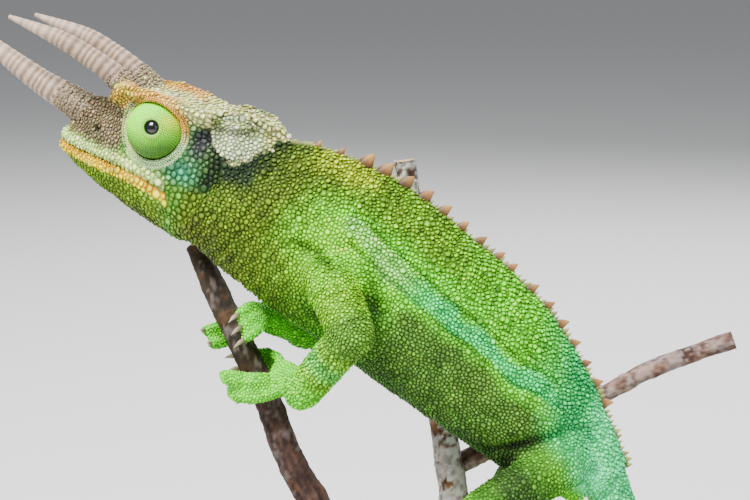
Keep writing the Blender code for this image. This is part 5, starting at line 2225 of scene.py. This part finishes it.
@dataclass
class Stand:
    """Plain wooden base with two steel rods that carry the stems."""

    size: tuple = (142.0, 92.0, 8.0)
    bevel: float = 1.2
    rod_radius: float = 2.4
    rods: tuple = (("stand_rod_front", (-9.5, 0.0, 54.0)), ("stand_rod_rear", (12.6, 13.4, 36.0)))

    def build(self) -> None:
        """Make the base and the rods."""
        self.base()
        finish = PlainFinish("brushed_rod", (0.62, 0.62, 0.63), 0.3, metal=1, brushing=0.15)
        for name, (x, y, top) in self.rods:
            path = np.array([(x, y, z) for z in np.linspace(self.size[2] + 0.05, top + 1.0, 12)])
            points, faces = tube(path, np.full(len(path), self.rod_radius * 0.985), 40)
            settle(tidy(write_mesh(name + "_steel", points, faces)), finish, "rod", name)

    def base(self) -> None:
        """Slab with rounded edges."""
        mesh = bpy.data.meshes.new("stand_base_wood")
        work = bmesh.new()
        bmesh.ops.create_cube(work, size=1)
        bmesh.ops.scale(work, vec=[side * MM for side in self.size], verts=work.verts)
        bmesh.ops.translate(work, vec=(0, 0, self.size[2] * MM / 2), verts=work.verts)
        bmesh.ops.bevel(work, geom=work.edges[:], offset=self.bevel * MM, segments=4, profile=0.5, affect="EDGES")
        bmesh.ops.recalc_face_normals(work, faces=work.faces)
        work.to_mesh(mesh)
        work.free()
        settle(link("stand_base_wood", mesh), WoodFinish(), "base", "stand_base")


@dataclass
class Studio:
    """Pale floor, soft lights and the camera."""

    eye: tuple = (-0.005, -0.3348, 0.179)
    target: tuple = (-0.005, 0.0, 0.120)
    lens: float = 81.6
    floor_half: float = 6000.0
    air: tuple = (0.93, 0.96, 1.0, 1.0)
    air_strength: float = 0.32
    lights: tuple = (("key", (-0.28, -0.42, 0.85), 0.4, 26.0), ("fill", (0.6, -0.6, 0.4), 0.6, 2.0),
                     ("back", (0.25, 0.6, 0.7), 0.5, 9.0))

    def build(self) -> None:
        """Place floor, lights and camera."""
        half = self.floor_half
        points = np.array([(-half, -half, 0.0), (half, -half, 0.0), (half, half, 0.0), (-half, half, 0.0)])
        floor = write_mesh("studio_floor", points, [np.array([[0, 1, 2, 3]])])
        floor.data.materials.append(PlainFinish("pale_floor", (0.74, 0.74, 0.73), 0.8, specular=0.2).material())
        for name, place, size, power in self.lights:
            lamp = bpy.data.lights.new(name, "AREA")
            lamp.size, lamp.energy = size, power
            self.aim(name, lamp, place)
        world = bpy.data.worlds.new("studio_air")
        world.use_nodes = True
        background = world.node_tree.nodes["Background"].inputs
        background["Color"].default_value, background["Strength"].default_value = self.air, self.air_strength
        bpy.context.scene.world = world
        lens = bpy.data.cameras.new("camera")
        lens.lens, lens.sensor_width, lens.clip_start = self.lens, 36, 0.01
        bpy.context.scene.camera = self.aim("camera", lens, self.eye)

    def aim(self, name: str, data: bpy.types.Light | bpy.types.Camera, place: tuple) -> Body:
        """Set up a light or camera that looks at the animal.

        Args:
            name: Name of the object.
            data: The light or camera.
            place: Where it stands, in metres.

        Returns:
            The object.
        """
        body = link(name, data)
        body.location = place
        body.rotation_euler = (Vector(self.target) - Vector(place)).to_track_quat("-Z", "Y").to_euler()
        return body


STEMS = (
    Stem("perch_front_stem",
         ((-9.5, 0.0, 54.0), (-17.8, 0.0, 67.9), (-23.0, 0.0, 78.0), (-26.6, 0.0, 88.5), (-32.8, 1.4, 102.0),
          (-37.6, 5.2, 111.0), (-41.6, 10.2, 119.0)), (4.0, 3.8, 3.5, 3.3, 3.2, 3.0, 2.8),
         ((0.014, 0.006, 0.004), (0.085, 0.043, 0.032)), ((0.01, 0.007, 0.003), (0.045, 0.03, 0.014)), 0.62,
         (0.1, 0.078, 0.068), 0.08),
    Stem("perch_rear_stem",
         ((12.6, 13.4, 36.0), (11.9, 13.4, 50.0), (11.9, 13.6, 64.0), (9.9, 14.0, 77.0), (5.5, 14.6, 106.9),
          (1.2, 15.0, 136.2)), (4.0, 3.9, 3.8, 3.5, 3.0, 2.6),
         ((0.065, 0.028, 0.012), (0.3, 0.145, 0.055)), ((0.036, 0.021, 0.014), (0.16, 0.096, 0.07)), 0.55,
         (0.52, 0.5, 0.47), 0.3),
    Stem("perch_side_branch",
         ((13.4, 14.2, 71.6), (27.0, 16.6, 77.8), (43.5, 18.0, 85.3), (53.0, 17.0, 90.9), (63.4, 16.0, 95.3),
          (70.7, 15.4, 98.0)), (2.9, 2.6, 2.3, 2.4, 2.3, 2.4),
         ((0.034, 0.014, 0.01), (0.21, 0.115, 0.085)), ((0.034, 0.014, 0.01), (0.21, 0.115, 0.085)), 0.5,
         (0.27, 0.2, 0.185), 0.2, knobs=1.0))


def main() -> None:
    """Build the animal, its perch and the studio."""
    logging.basicConfig(level=logging.INFO, format="%(message)s", force=True)
    maker = Skin()
    surface = maker.fold(maker.build())
    skin = maker.dress(surface)
    Coat(surface, skin, nearest_node(surface.points)).grow()
    Eye(Side.LEFT, (-0.125, 0.93, 0.24)).build(surface)
    Eye(Side.RIGHT, (0.3, -0.9, 0.1)).build(surface)
    horns = [Horn("horn_nose", (0.13, 0.085, 0.055), (0.46, 0.33, 0.235), 10)]
    horns += [Horn(f"horn_{side.name.lower()}", (0.11, 0.07, 0.045), (0.4, 0.275, 0.19), 8.5)
              for side in Side]
    for horn in horns:
        horn.build()
        horn.collar(surface)
    crest, claws = ([spike for spike in maker.spikes if spike.node.startswith("foot") == foot]
                    for foot in (False, True))
    teeth = [Spike("head", *(ANIMAL.from_head((forward, out * side.value, up))
                             for forward, out, up in ((11.7, 7.3, 5), (7.4, 7, 4.9)))) for side in Side]
    for cones in (
            Cones("crest_spines", crest, 0.9, 0.5, 0.6, (0.05, 0.02, 0.004), (0.33, 0.165, 0.045), 0.55, 0.05, 0.14),
            Cones("crest_burrs", crest_burrs(), 0.5, 0.42, 0.7, (0.05, 0.08, 0.01), (0.3, 0.3, 0.08), 0.55),
            Cones("brow_teeth", teeth, 0.6, 0.42, 0.6, (0.42, 0.2, 0.02), (0.5, 0.42, 0.05), 0.5, 0.08),
            Cones("claws", claws, 0.5, 0.2, 1, (0.16, 0.14, 0.07), (0.36, 0.29, 0.17), 0.4, 0.08, 0.14)):
        cones.build()
    for stem in STEMS:
        body = stem.build()
        if stem.name == "perch_rear_stem":
            Lichen(body, stem.name).build()
    Stand().build()
    Studio().build()
    for piece in PIECES:
        LOG.info("%s: %d faces", piece.name, len(piece.data.polygons))


if __name__ == "__main__":
    main()
